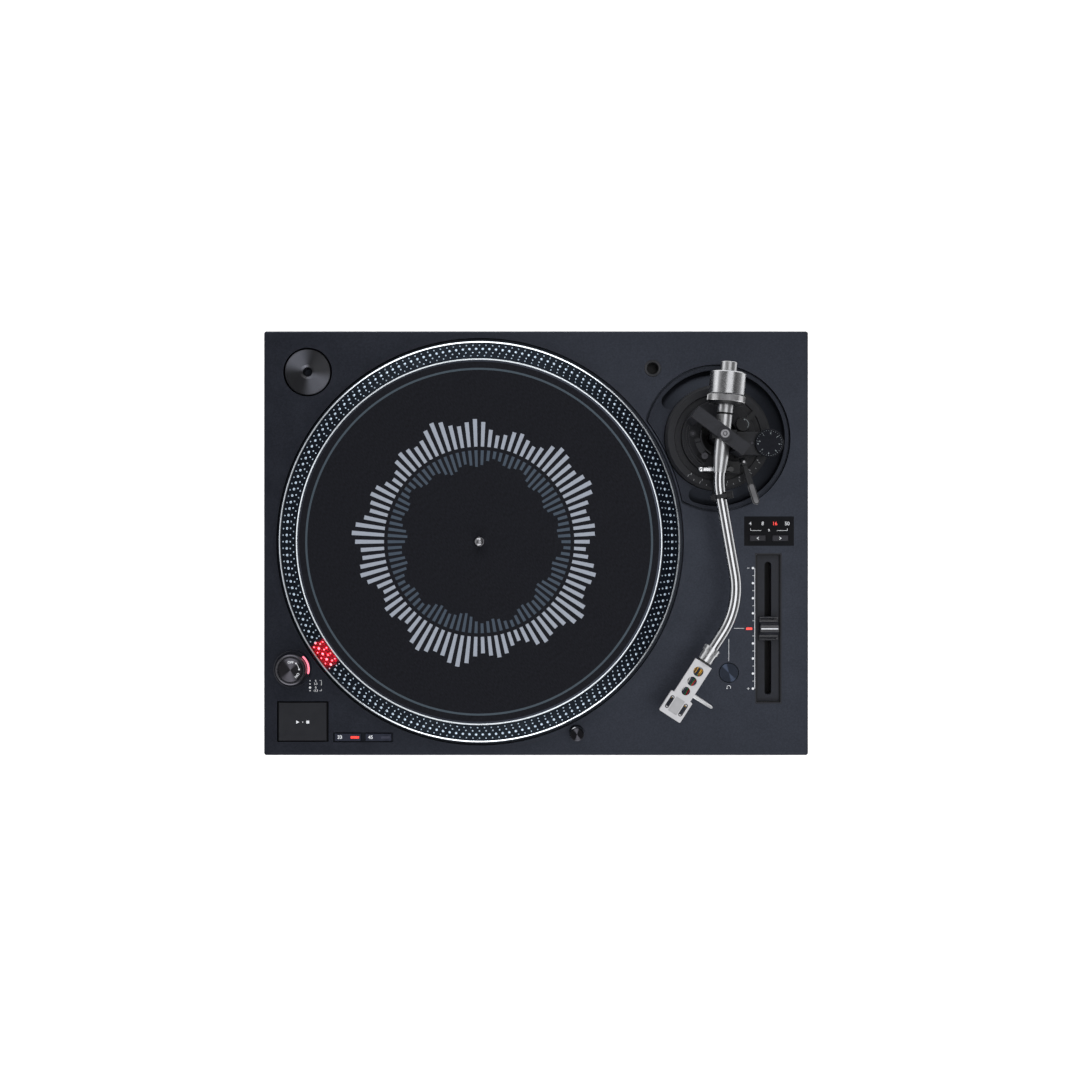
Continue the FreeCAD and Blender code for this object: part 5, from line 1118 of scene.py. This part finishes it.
class DECK_OT_arm_base(bpy.types.Operator):
    """Finishes the arm's base plate, height ring, base and bridge, with the height scale"""

    bl_idname = "deck.arm_base"
    bl_label = "Arm base"

    SCALE_START, SCALE_STEP = -127.9, 8.06
    BOSS_RADIUS, BOSS_DEGREES = 23.4 * MM, 176
    PIT_RADIUS, PIT_DEGREES = 21.2 * MM, -129.3

    def execute(self, context):
        paint = textured_paint("arm_plate_paint", shade_of(23, 24, 29), 0.4, 0.3)
        # Painted shade: the plate darkens down into its moat, which looks deep and shaded.
        give(painted_shade_below(paint, plinth - 5 * MM, plinth + 1.2 * MM, 0.05), "arm_base_plate")
        ring = moulded_plastic("ring_paint", shade_of(32, 33, 37), 0.4)
        # Painted shade: the ring darkens below its top face.
        give(painted_shade_below(ring, plinth + 3 * MM, top("height_ring") - 0.1 * MM, 0.3), "height_ring")
        black = moulded_plastic("arm_base_paint", shade_of(29, 30, 34), 0.42)
        # Painted shade: the base darkens towards its lower parts.
        give(painted_shade_below(black, plinth + 8 * MM, plinth + 11 * MM, 0.25), "arm_base")
        give(moulded_plastic("bridge_paint", shade_of(39, 40, 45), 0.42), "gimbal_bridge")
        give(moulded_plastic("yoke_paint", shade_of(24, 25, 28), 0.4), "gimbal_yoke")
        give(satin_metal("pivot_steel", shade_of(122, 122, 126), 0.3), "bridge_screw")
        self.height_scale()
        self.base_details()
        return {"FINISHED"}

    def height_scale(self):
        """Figures 0 to 6 and their ticks on the ring's face."""
        shape = bmesh.new()
        height = top("height_ring")
        level = on_print(height)
        centre = over(arm_axis, 0)
        for number in range(13):
            degrees = self.SCALE_START + number * self.SCALE_STEP
            inner, outer = (39.6, 40.9) if number % 2 else (38.6, 40.9)
            ends = (round_from(centre, reach * MM, degrees) for reach in (inner, outer))
            strip(shape, *ends, 0.3 * MM, *level)
            if number % 2 == 0:
                figures(shape, str(number // 2), 2.1 * MM, round_from(centre, 37.5 * MM, degrees + 1.5),
                        height, degrees + 90)
        add_piece("height_scale", shape, "height_ring", printed_ink("height_ink", shade_of(170, 172, 176)))

    def base_details(self):
        """Ribs, bosses and screws on the arm base's floor."""
        height = top("arm_base")
        centre = over(arm_axis, 0)
        ribs = bmesh.new()
        low, high = height - 0.2 * MM, height + 1.1 * MM
        for radius in (26.6, 28.4):
            arc_strip(ribs, centre, radius * MM, 0.45 * MM, 165, 236, low, high)
        for degrees in (165, 236):
            arc_strip(ribs, round_from(centre, 27.5 * MM, degrees), 0.9 * MM, 0.45 * MM, degrees,
                      degrees + (-180 if degrees < 200 else 180), low, high, 10)
        arc_strip(ribs, centre, 16.9 * MM, 1.0 * MM, 165, 240, low, high + 0.6 * MM)
        arc_strip(ribs, centre, 19.9 * MM, 4.6 * MM, 187, 222, low, high + 0.2 * MM)
        arc_strip(ribs, centre, 21.5 * MM, 0.8 * MM, 20, 75, low, high)
        boss = round_from(centre, self.BOSS_RADIUS, self.BOSS_DEGREES)
        disc(ribs, boss, 2.6 * MM, low, high + 0.4 * MM, 28)
        add_piece("arm_base_ribs", ribs, "arm_stage", moulded_plastic("rib_paint", shade_of(31, 32, 36)))
        screws = bmesh.new()
        pit = round_from(centre, self.PIT_RADIUS, self.PIT_DEGREES)
        slotted_screw(screws, pit, 3.1 * MM, height - 2.2 * MM, height - 0.4 * MM)
        slotted_screw(screws, boss, 1.5 * MM, height + 1.2 * MM, height + 2.0 * MM)
        add_piece("arm_base_screws", screws, "arm_stage",
                  satin_metal("black_screw", shade_of(58, 58, 62), 0.35))
        screw_top = top("bridge_screw")
        socket = bmesh.new()
        outline = [(1.2 * MM, screw_top - 0.4 * MM), (1.9 * MM, screw_top - 0.4 * MM),
                   (1.9 * MM, screw_top), (1.6 * MM, screw_top), (1.2 * MM, screw_top - 0.1 * MM)]
        lathe(socket, outline, arm_axis, 24)
        add_piece("pivot_screw_ring", socket, "arm_stage",
                  satin_metal("screw_ring", shade_of(80, 80, 84), 0.3))


class DECK_OT_anti_skate(bpy.types.Operator):
    """Finishes the anti-skate housing and dial, and the height lock"""

    bl_idname = "deck.anti_skate"
    bl_label = "Anti-skate and height lock"

    ZERO_DEGREES, TICK_DEGREES = 170, 11

    def execute(self, context):
        centre, height = middle("antiskate_dial"), top("antiskate_dial")
        give(moulded_plastic("housing_paint", shade_of(32, 33, 37), 0.4), "antiskate_housing")
        give(turned_face("dial_face", shade_of(26, 27, 31), over(centre, 0), 0.4 * MM, 0.3),
             "antiskate_dial")
        ink = printed_ink("dial_ink", shade_of(150, 158, 162))
        radius = half_width("antiskate_dial")
        teeth = bmesh.new()
        toothed_sleeve(teeth, radius - 1.2 * MM, radius + 0.05 * MM, 0.4 * MM, 72, height - 3.4 * MM,
                       height - 0.3 * MM, 0.3 * MM, upright(centre))
        add_piece("antiskate_teeth", teeth, "antiskate",
                  moulded_plastic("dial_teeth", shade_of(28, 29, 33), 0.35))
        marks = bmesh.new()
        level = on_print(height)
        foot = over(centre, 0)
        for number in range(29):
            degrees = self.ZERO_DEGREES - number * self.TICK_DEGREES
            inner = 9.9 if number % 4 else 9.6
            ends = (round_from(foot, reach * MM, degrees) for reach in (inner, 10.4))
            strip(marks, *ends, 0.24 * MM, *level)
            if number % 4 == 0:
                figures(marks, str(number // 4), 2.1 * MM, round_from(foot, 8.2 * MM, degrees), height,
                        degrees + 90)
        disc(marks, round_from(foot, 9.3 * MM, 184), 0.5 * MM, *level)
        add_piece("antiskate_marks", marks, "antiskate", ink)
        self.lock(ink)
        screw = bmesh.new()
        deck_top = top("antiskate_housing")
        slotted_screw(screw, mm(176.3, 81.9), 1.5 * MM, deck_top - 0.2 * MM, deck_top + 0.5 * MM)
        add_piece("housing_screw", screw, "arm_stage",
                  satin_metal("small_screw", shade_of(56, 56, 60), 0.35))
        return {"FINISHED"}

    def lock(self, ink):
        """Height lock: a turned cap with one curved arrow and teeth round it."""
        give(moulded_plastic("lock_plastic", shade_of(26, 27, 30), 0.34), "lock_lever")
        height = top("lock_lever")
        centre = Vector((arm_axis.x + 19.5 * MM, arm_axis.y + 10.1 * MM, 0))
        marks = bmesh.new()
        arc_strip(marks, centre, 4.2 * MM, 0.35 * MM, -40, 70, *on_print(height), pieces=12)
        arrow_head(marks, round_from(centre, 4.2 * MM, 92), 170, 1.4 * MM, *on_print(height))
        add_piece("lock_marks", marks, "height_lock", ink)
        teeth = bmesh.new()
        toothed_sleeve(teeth, 4.9 * MM, 5.85 * MM, 0.35 * MM, 40, height - 4.2 * MM, height - 0.3 * MM,
                       0.3 * MM, Matrix.Translation(centre))
        add_piece("lock_teeth", teeth, "height_lock",
                  moulded_plastic("lock_teeth", shade_of(30, 31, 34), 0.34))


class DECK_OT_lifter(bpy.types.Operator):
    """Finishes the lifter, its bar, the cue lever, and the arm rest with its clamp"""

    bl_idname = "deck.lifter"
    bl_label = "Lifter and arm rest"

    def execute(self, context):
        colours = context.scene.deck_colours
        black = moulded_plastic("lifter_plastic", shade_of(30, 31, 34), 0.4)
        give(black, "lifter_housing", "arm_rest", "arm_clamp")
        give(self.bar_finish(colours), "lift_bar")
        give(moulded_plastic("lever_paint", shade_of(34, 35, 38), 0.36), "cue_lever")
        lever = Vector((arm_axis.x + 18.9 * MM, arm_axis.y - 21.0 * MM, 0))
        low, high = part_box("cue_lever")
        grip = bmesh.new()
        start, end = (round_from(lever, reach * MM, -72.1) for reach in (21.0, 33.5))
        level = (low.z + high.z) / 2
        self.sleeve(grip, over(start, level), over(end, level), 3.0 * MM, 2.1 * MM)
        add_piece("cue_grip", grip, "cue", soft_rubber("grip_rubber", shade_of(104, 104, 107)), 50)
        screw = bmesh.new()
        spot = over(lever, high.z)
        slotted_screw(screw, spot, 1.1 * MM, high.z - 0.2 * MM, high.z + 0.25 * MM)
        add_piece("cue_screw", screw, "cue", satin_metal("cue_screw_steel", shade_of(150, 150, 153), 0.3))
        return {"FINISHED"}

    def bar_finish(self, colours):
        """Silver where the arm is lifted, black rubber over the bar's right end."""
        material = satin_metal("lift_steel", shifted(colours.silver, 1.1), 0.2)
        scale_colour(material, ranged(material, along_axis(material, "X"), 149 * MM, 149.4 * MM, 1.0, 0.05))
        return material

    def sleeve(self, shape, start, end, half_width, half_height):
        """Rounded grip over the lever's end."""
        along = (end - start).normalized()
        side = Vector((-along.y, along.x, 0))
        length = (end - start).length
        stations = []
        for number in range(15):
            reach = -half_width + number / 14 * (length + 2 * half_width)
            ends = min(reach + half_width, length + half_width - reach)
            close = math.sqrt(max(0.0, 1 - (1 - min(1, ends / half_width)) ** 2))
            stations.append((start + along * reach, side, half_width * max(close, 0.12),
                             half_height * (0.72 + 0.28 * close)))
        blade(shape, stations)


class DECK_OT_tonearm(bpy.types.Operator):
    """Finishes the arm's tube and housing, the counterweight and the force dial"""

    bl_idname = "deck.tonearm"
    bl_label = "Tonearm and counterweight"

    def execute(self, context):
        colours, sizes = context.scene.deck_colours, context.scene.deck_sizes
        give(chrome("tube_metal", shifted(colours.silver, 0.9), 0.15), "arm_tube")
        give(satin_metal("housing_metal", shifted(colours.silver, 0.86), 0.32), "arm_housing")
        give(satin_metal("shaft_metal", shifted(colours.silver, 0.8), 0.34), "balance_shaft",
             "counterweight_bush")
        give(satin_metal("weight_metal", shifted(colours.silver, 0.8), 0.26), "counterweight")
        self.force_dial(sizes)
        self.force_scale()
        rubber = bmesh.new()
        toothed_sleeve(rubber, 5.2 * MM, 5.6 * MM, 0.05 * MM, 24, 16.25 * MM, 17.75 * MM, 0.1 * MM,
                       stand_up(pivot, arm_back))
        add_piece("shaft_break", rubber, "tonearm", soft_rubber("break_rubber", shade_of(14, 14, 15)))
        return {"FINISHED"}

    def force_dial(self, sizes):
        """Black dial with a silver knurled ring round its rear half."""
        core = bmesh.new()
        outline = [(7.65, 24.2), (12.4, 24.2), (13.2, 24.6), (14.3, 26.4), (14.3, 31.5), (7.65, 31.5)]
        turned_about(core, [(radius * MM, reach * MM) for radius, reach in outline], pivot, arm_back)
        dial = add_piece("force_dial_core", core, "dial",
                         moulded_plastic("force_dial_plastic", shade_of(22, 23, 26), 0.34))
        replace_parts(dial, "force_dial")
        teeth = bmesh.new()
        toothed_sleeve(teeth, 14.0 * MM, 15.25 * MM, 0.5 * MM, sizes.dial_teeth, 26.5 * MM, 31.55 * MM,
                       0.45 * MM, stand_up(pivot, arm_back))
        add_piece("force_dial_ring", teeth, "dial",
                  satin_metal("dial_ring_metal", shade_of(176, 176, 178), 0.3))

    def force_scale(self):
        """Figures 0 to 3 round the dial's front face, read from the front."""
        marks = bmesh.new()
        face = pivot + arm_back * (24.2 * MM)
        facing = (-arm_back).to_track_quat("Z", "Y").to_matrix().to_4x4()
        for number in range(32):
            turn = Matrix.Rotation(2 * math.pi * number / 32, 4, "Z")
            base = Matrix.Translation(face - arm_back * PRINT_RISE) @ facing @ turn
            start = len(marks.verts)
            long_tick = number % 4 == 0
            strip(marks, mm(0, 11.2 if long_tick else 12.2), mm(0, 13.2), 0.3 * MM,
                  -PRINT_RISE, PRINT_RISE)
            marks.verts.ensure_lookup_table()
            bmesh.ops.transform(marks, matrix=base, verts=marks.verts[start:])
            if long_tick:
                text = str(number / 8).rstrip("0").rstrip(".") if number else "0"
                figures(marks, text, 2.4 * MM, face, 0,
                        matrix=base @ Matrix.Translation(mm(0, 9.6)))
        add_piece("force_marks", marks, "dial", printed_ink("force_ink", shade_of(96, 97, 100)))


class DECK_OT_headshell(bpy.types.Operator):
    """Finishes the locking collar and the headshell, with its pins and leads"""

    bl_idname = "deck.headshell"
    bl_label = "Headshell"

    REAR_RUN = 39.7 * MM
    MIDDLE_RUN = 99.7 * MM
    MIDDLE_TURN = math.radians(-10)
    SHELL_START = 54.3
    LIFT_REACH = 80.9
    SLOT_SIDE = 6.35
    SLOT_ENDS = ((99.2, -90), (91.0, 90))
    PIN_SIDES = (-2.9, -1.4, 1.4, 2.9)
    LEAD_WAY = ((72, 0.75, 0.25), (78, 0.7, 0.5), (83.5, 0.9, 1.4))
    LEAD_TONES = ((222, 222, 220), (60, 66, 84), (36, 120, 72), (200, 26, 46))

    def execute(self, context):
        colours, sizes = context.scene.deck_colours, context.scene.deck_sizes
        give(chrome("collar_metal", colours.silver, 0.28), "locking_collar")
        start = self.front_start()
        paint = moulded_plastic("shell_paint", shifted(colours.shell, 0.86), 0.45, 0.5, 0.03)
        reach = along_axis(paint, "X", over(start, 0), (0, 0, math.atan2(shell_out.y, shell_out.x)))
        scale_colour(paint, ranged(paint, reach, self.SHELL_START * MM, (self.SHELL_START + 0.3) * MM,
                                   0.03, 1.0))
        # Painted shade: the shell darkens below its top face, on its sides.
        give(painted_shade_below(paint, arm_level + 3.0 * MM, arm_level + 3.4 * MM, 0.72), "headshell")
        self.finger_lift(colours)
        self.slot_shade_rims()
        self.leads()
        teeth = bmesh.new()
        for near, far in ((40.35, 42.5), (42.9, 45.0)):
            toothed_sleeve(teeth, 6.0 * MM, 6.75 * MM, 0.5 * MM, sizes.collar_teeth, near * MM, far * MM,
                           0.3 * MM, stand_up(start, shell_out))
        add_piece("collar_teeth", teeth, "collar",
                  chrome("collar_teeth_metal", shifted(colours.silver, 0.9), 0.34))
        return {"FINISHED"}

    def front_start(self):
        """Where the arm's last straight run starts, on the tube's axis."""
        along = Vector((-math.sin(self.MIDDLE_TURN), -math.cos(self.MIDDLE_TURN), 0))
        return pivot - arm_back * self.REAR_RUN + along * self.MIDDLE_RUN

    def on_shell(self, reach, across, height):
        """Place on the headshell: along it, to its side and over the arm's axis, in millimetres."""
        place = self.front_start() + shell_out * (reach * MM) + shell_side * (across * MM)
        return over(place, arm_level + height * MM)

    def finger_lift(self, colours):
        """Slim lift beside the shell that bends up to a rounded tip."""
        lift = bmesh.new()
        stations = []
        for share in (0.0, 0.15, 0.3, 0.45, 0.6, 0.72, 0.84, 0.93, 0.96, 0.985, 1.0):
            width = 1.75 - 0.55 * share
            tip = math.sqrt(max(0.04, min(1.0, (1 - share) * 16)))
            place = self.on_shell(self.LIFT_REACH, 7.0 + 18.0 * share, 2.7 + 2.2 * share ** 3)
            stations.append((place, shell_out, width * tip * MM, 0.72 * MM))
        blade(lift, stations)
        metal = satin_metal("finger_lift_metal", shifted(colours.silver, 0.95), 0.4)
        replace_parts(add_piece("finger_lift_blade", lift, "shell", metal, 50), "finger_lift")

    def slot_shade_rims(self):
        """Painted shade: dark rings round the two cartridge slots, standing in for the shade on their
        chamfered edges.
        """
        rims = bmesh.new()
        for side in (-self.SLOT_SIDE, self.SLOT_SIDE):
            outline = []
            for end, start_turn in self.SLOT_ENDS:
                for step in range(9):
                    turn = math.radians(start_turn + 22.5 * step)
                    outline.append((end + 1.65 * math.cos(turn), side + 1.65 * math.sin(turn),
                                    end + 0.95 * math.cos(turn), side + 0.95 * math.sin(turn)))
            outer = [self.on_shell(spot[0], spot[1], 0) for spot in outline]
            inner = [self.on_shell(spot[2], spot[3], 0) for spot in outline]
            for step in range(len(outline)):
                ahead = (step + 1) % len(outline)
                plate(rims, [outer[step], outer[ahead], inner[ahead], inner[step]],
                      arm_level + 3.3 * MM, arm_level + 3.54 * MM)
        add_piece("slot_shade_rims", rims, "shell", moulded_plastic("slot_shade_paint", shade_of(30, 30, 33), 0.4))

    def leads(self):
        """Four gold pins behind the collar, and a coloured lead from each to its clip at the slots."""
        low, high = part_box("shell_leads")
        level = (low.z + high.z) / 2
        origin = over(self.front_start(), 0)
        pins = bmesh.new()
        clips = []
        for number, (place, tone) in enumerate(zip(self.PIN_SIDES, self.LEAD_TONES)):
            side = place * MM
            sunk = 2.2 if number in (0, 3) else 0.0

            def spot(reach, across, drop=0.0):
                return over(origin + shell_out * (reach * MM) + shell_side * across, level - drop * MM)

            turned_about(pins, [(0, 0), (0.65 * MM, 0), (0.65 * MM, 3.6 * MM), (0.45 * MM, 4.4 * MM),
                                (0.45 * MM, 5.6 * MM), (0, 5.6 * MM)], spot(59.7, side, sunk), shell_out,
                                16)
            bend = side * (2.3 if abs(side) > 1.8 * MM else 1.2)
            lead = bmesh.new()
            way = [spot(64.9, side, sunk), spot(68, side * 0.9, 0.1 + sunk / 2)]
            way += [spot(reach, side * share, drop) for reach, share, drop in self.LEAD_WAY]
            wire(lead, [*way, spot(88.5, bend, 2.6)], 0.55 * MM)
            sleeve = polished_plastic("lead_insulation_%d" % (number + 1), shade_of(*tone), 0.4)
            add_piece("shell_lead_%d" % (number + 1), lead, "shell", sleeve, 40)
            clips.append((spot(88.3, bend, 2.58), spot(92.4, bend, 2.58)))
        for start, end in clips:
            wire(pins, [start, end], 0.75 * MM)
        gold = satin_metal("pin_gold", shade_of(232, 184, 92), 0.24)
        holder = add_piece("shell_pins", pins, "shell", gold, 40)
        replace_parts(holder, "shell_leads")


class DECK_OT_rear_sockets(bpy.types.Operator):
    """Finishes the rear sockets and the works inside the deck"""

    bl_idname = "deck.rear_sockets"
    bl_label = "Rear sockets and works"

    JACK_RINGS = (("jack_ring_right", -20.0, (178, 30, 36)), ("jack_ring_left", 0.0, (214, 214, 210)))

    def execute(self, context):
        give(satin_metal("socket_metal", shade_of(206, 178, 110), 0.28), "output_terminals")
        give(moulded_plastic("inlet_plastic", shade_of(22, 22, 24), 0.4), "ac_inlet")
        board = circuit_board("board_resin", shade_of(28, 92, 52))
        give(board, "main_circuit_board", "power_supply_board", "switch_boards")
        give(satin_metal("coil_copper", shade_of(184, 110, 62), 0.32), "motor_stator")
        give(satin_metal("bearing_steel", shade_of(170, 170, 172), 0.3), "bearing_housing")
        centre = middle("output_terminals")
        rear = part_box("output_terminals")[1].y
        for name, shift, tone in self.JACK_RINGS:
            shape = bmesh.new()
            place = Vector((centre.x + shift * MM, rear - 8.9 * MM, centre.z))
            toothed_sleeve(shape, 4.3 * MM, 5.9 * MM, 0.05 * MM, 24, 0.0, 1.6 * MM, 0.3 * MM,
                           stand_up(place, Vector((0, 1, 0))))
            add_piece(name, shape, "deck", polished_plastic(name + "_plastic", shade_of(*tone), 0.35))
        return {"FINISHED"}


class DECK_OT_stage(bpy.types.Operator):
    """Makes the floor, the lamps, the world and the camera"""

    bl_idname = "deck.stage"
    bl_label = "Floor, lamps and camera"

    SOFTBOXES = (("key_softbox", (0.33, -0.03, 1.5), (0.8, 1.0), 4.4),
                 ("front_softbox", (0.1, -1.3, 1.25), (1.8, 0.8), 16),
                 ("rear_softbox", (-0.1, 1.3, 1.25), (1.8, 0.8), 17),
                 ("left_softbox", (-1.6, 0.1, 0.5), (1.4, 0.5), 2))
    GLOW_DEGREES = 216
    GLOW_RADIUS = 157 * MM
    GLOW_HEIGHT = 8 * MM
    CAMERA_SIDE, CAMERA_AHEAD = 3.29 * MM, 2.70 * MM

    def execute(self, context):
        colours, sizes = context.scene.deck_colours, context.scene.deck_sizes
        scene = context.scene
        scene.view_settings.view_transform = "Standard"
        self.floor(colours.floor)
        self.world(scene)
        for softbox in self.SOFTBOXES:
            self.lamp(*softbox)
        self.strobe_glow()
        camera = bpy.data.objects.new("camera", bpy.data.cameras.new("camera"))
        scene.collection.objects.link(camera)
        camera.data.lens = sizes.frame_lens
        camera.data.sensor_width = 36
        camera.location = (self.CAMERA_SIDE, self.CAMERA_AHEAD, plinth + sizes.camera_height)
        camera.data.clip_end = 20
        scene.camera = camera
        return {"FINISHED"}

    def floor(self, colour):
        """Pale floor that the camera sees as white where nothing shades it."""
        shape = bmesh.new()
        bmesh.ops.create_grid(shape, x_segments=1, y_segments=1, size=12)
        mesh = finished_mesh("floor", shape)
        floor = bpy.data.objects.new("floor", mesh)
        bpy.context.scene.collection.objects.link(floor)
        material = finish("floor_paper", colour, 0.9)
        blend_colours(material, grain(material, 0.8), (shifted(colour, 0.99), colour))
        raise_pattern(material, grain(material, 2 * MM), 0.02, 0.1 * MM)
        self.brighten(material)
        floor.data.materials.append(material)

    def brighten(self, material):
        """White for the camera, gloss and glass only, and more so far off where the lamps don't reach."""
        path = add_node(material, "ShaderNodeLightPath")
        seen = add_node(material, "ShaderNodeMath", operation="MAXIMUM")
        either = add_node(material, "ShaderNodeMath", operation="MAXIMUM")
        glow = add_node(material, "ShaderNodeEmission", Color=(1, 1, 1, 1))
        power = add_node(material, "ShaderNodeMath", operation="MULTIPLY")
        far = add_node(material, "ShaderNodeVectorMath", operation="LENGTH")
        join(material, piece_coordinates(material), far.inputs[0])
        join(material, ranged(material, far.outputs["Value"], 0.7, 3.0, 0.55, 1.0), power.inputs[1])
        both = add_node(material, "ShaderNodeAddShader")
        join(material, path.outputs["Is Camera Ray"], seen.inputs[0])
        join(material, path.outputs["Is Glossy Ray"], seen.inputs[1])
        join(material, seen.outputs[0], either.inputs[0])
        join(material, path.outputs["Is Transmission Ray"], either.inputs[1])
        join(material, either.outputs[0], power.inputs[0])
        join(material, power.outputs[0], glow.inputs["Strength"])
        output = material.node_tree.nodes["Material Output"]
        surface = output.inputs["Surface"].links[0].from_socket
        join(material, surface, both.inputs[0])
        join(material, glow.outputs[0], both.inputs[1])
        join(material, both.outputs[0], output.inputs["Surface"])

    def world(self, scene):
        """White behind the deck; for the lighting white round the horizon, dim overhead and to the right."""
        world = bpy.data.worlds.new("studio")
        scene.world = world
        world.use_nodes = True
        sky = world.node_tree.nodes["Background"]
        sky.inputs["Color"].default_value = (1, 1, 1, 1)
        source = add_node(world, "ShaderNodeTexCoord")
        split = add_node(world, "ShaderNodeSeparateXYZ")
        join(world, source.outputs["Generated"], split.inputs["Vector"])
        rise = ranged(world, split.outputs["Z"], 0.02, 0.8, 1.0, 0.12, True)
        across = ranged(world, split.outputs["X"], -0.9, 0.9, 1.1, 0.4)
        path = add_node(world, "ShaderNodeLightPath")
        both = add_node(world, "ShaderNodeMath", operation="MULTIPLY")
        seen = add_node(world, "ShaderNodeMath", operation="MAXIMUM")
        join(world, rise, both.inputs[0])
        join(world, across, both.inputs[1])
        join(world, both.outputs[0], seen.inputs[0])
        join(world, path.outputs["Is Camera Ray"], seen.inputs[1])
        join(world, seen.outputs[0], sky.inputs["Strength"])

    def lamp(self, name, place, size, power):
        data = bpy.data.lights.new(name, "AREA")
        data.shape = "RECTANGLE"
        data.size, data.size_y = size
        data.energy = power
        self.aim(name, data, Vector(place), over(Vector((0, 0, 0)), plinth))

    def aim(self, name, data, place, target):
        lamp = bpy.data.objects.new(name, data)
        lamp.location = place
        lamp.rotation_mode = "QUATERNION"
        lamp.rotation_quaternion = (place - target).to_track_quat("Z", "Y")
        lamp.visible_camera = False
        bpy.context.scene.collection.objects.link(lamp)
        return lamp

    def strobe_glow(self):
        """The strobe's own red lamp, thrown on the platter's edge beside its window."""
        data = bpy.data.lights.new("strobe_glow", "AREA")
        data.shape = "RECTANGLE"
        data.size, data.size_y = 14 * MM, 22 * MM
        data.energy = 0.15
        data.color = (1.0, 0.004, 0.008)
        data.spread = math.radians(28)
        spot = round_from(platter_axis, self.GLOW_RADIUS, self.GLOW_DEGREES,
                          top("platter") + self.GLOW_HEIGHT)
        lamp = self.aim("strobe_glow", data, spot, spot - UP)
        lamp.rotation_mode = "XYZ"
        lamp.rotation_euler = (0, 0, math.radians(self.GLOW_DEGREES))
        lamp.visible_glossy = False


OPERATORS = (DECK_OT_stage, DECK_OT_plinth, DECK_OT_platter, DECK_OT_slipmat, DECK_OT_adaptor,
             DECK_OT_strobe_tower, DECK_OT_start_stop, DECK_OT_speed_buttons, DECK_OT_target_light,
             DECK_OT_range_panel, DECK_OT_pitch_fader, DECK_OT_reset_button, DECK_OT_arm_base,
             DECK_OT_anti_skate, DECK_OT_lifter, DECK_OT_tonearm, DECK_OT_headshell,
             DECK_OT_rear_sockets)


class DECK_PT_pieces(bpy.types.Panel):
    """The deck's pieces, sizes and colours"""

    bl_idname = "DECK_PT_pieces"
    bl_label = "Mixing deck"
    bl_space_type = "VIEW_3D"
    bl_region_type = "UI"
    bl_category = "Deck"

    def draw(self, context):
        for operator in OPERATORS:
            self.layout.operator(operator.bl_idname)
        for group in (context.scene.deck_colours, context.scene.deck_sizes):
            box = self.layout.box()
            for name in group.__annotations__:
                box.prop(group, name)


CLASSES = (DeckColours, DeckSizes, *OPERATORS, DECK_PT_pieces)


def register():
    for item in CLASSES:
        bpy.utils.register_class(item)
    bpy.types.Scene.deck_colours = bpy.props.PointerProperty(type=DeckColours)
    bpy.types.Scene.deck_sizes = bpy.props.PointerProperty(type=DeckSizes)


def unregister():
    del bpy.types.Scene.deck_sizes
    del bpy.types.Scene.deck_colours
    for item in reversed(CLASSES):
        bpy.utils.unregister_class(item)


def main():
    register()
    for operator in OPERATORS:
        family, name = operator.bl_idname.split(".")
        getattr(getattr(bpy.ops, family), name)()


if __name__ == "__main__":
    main()
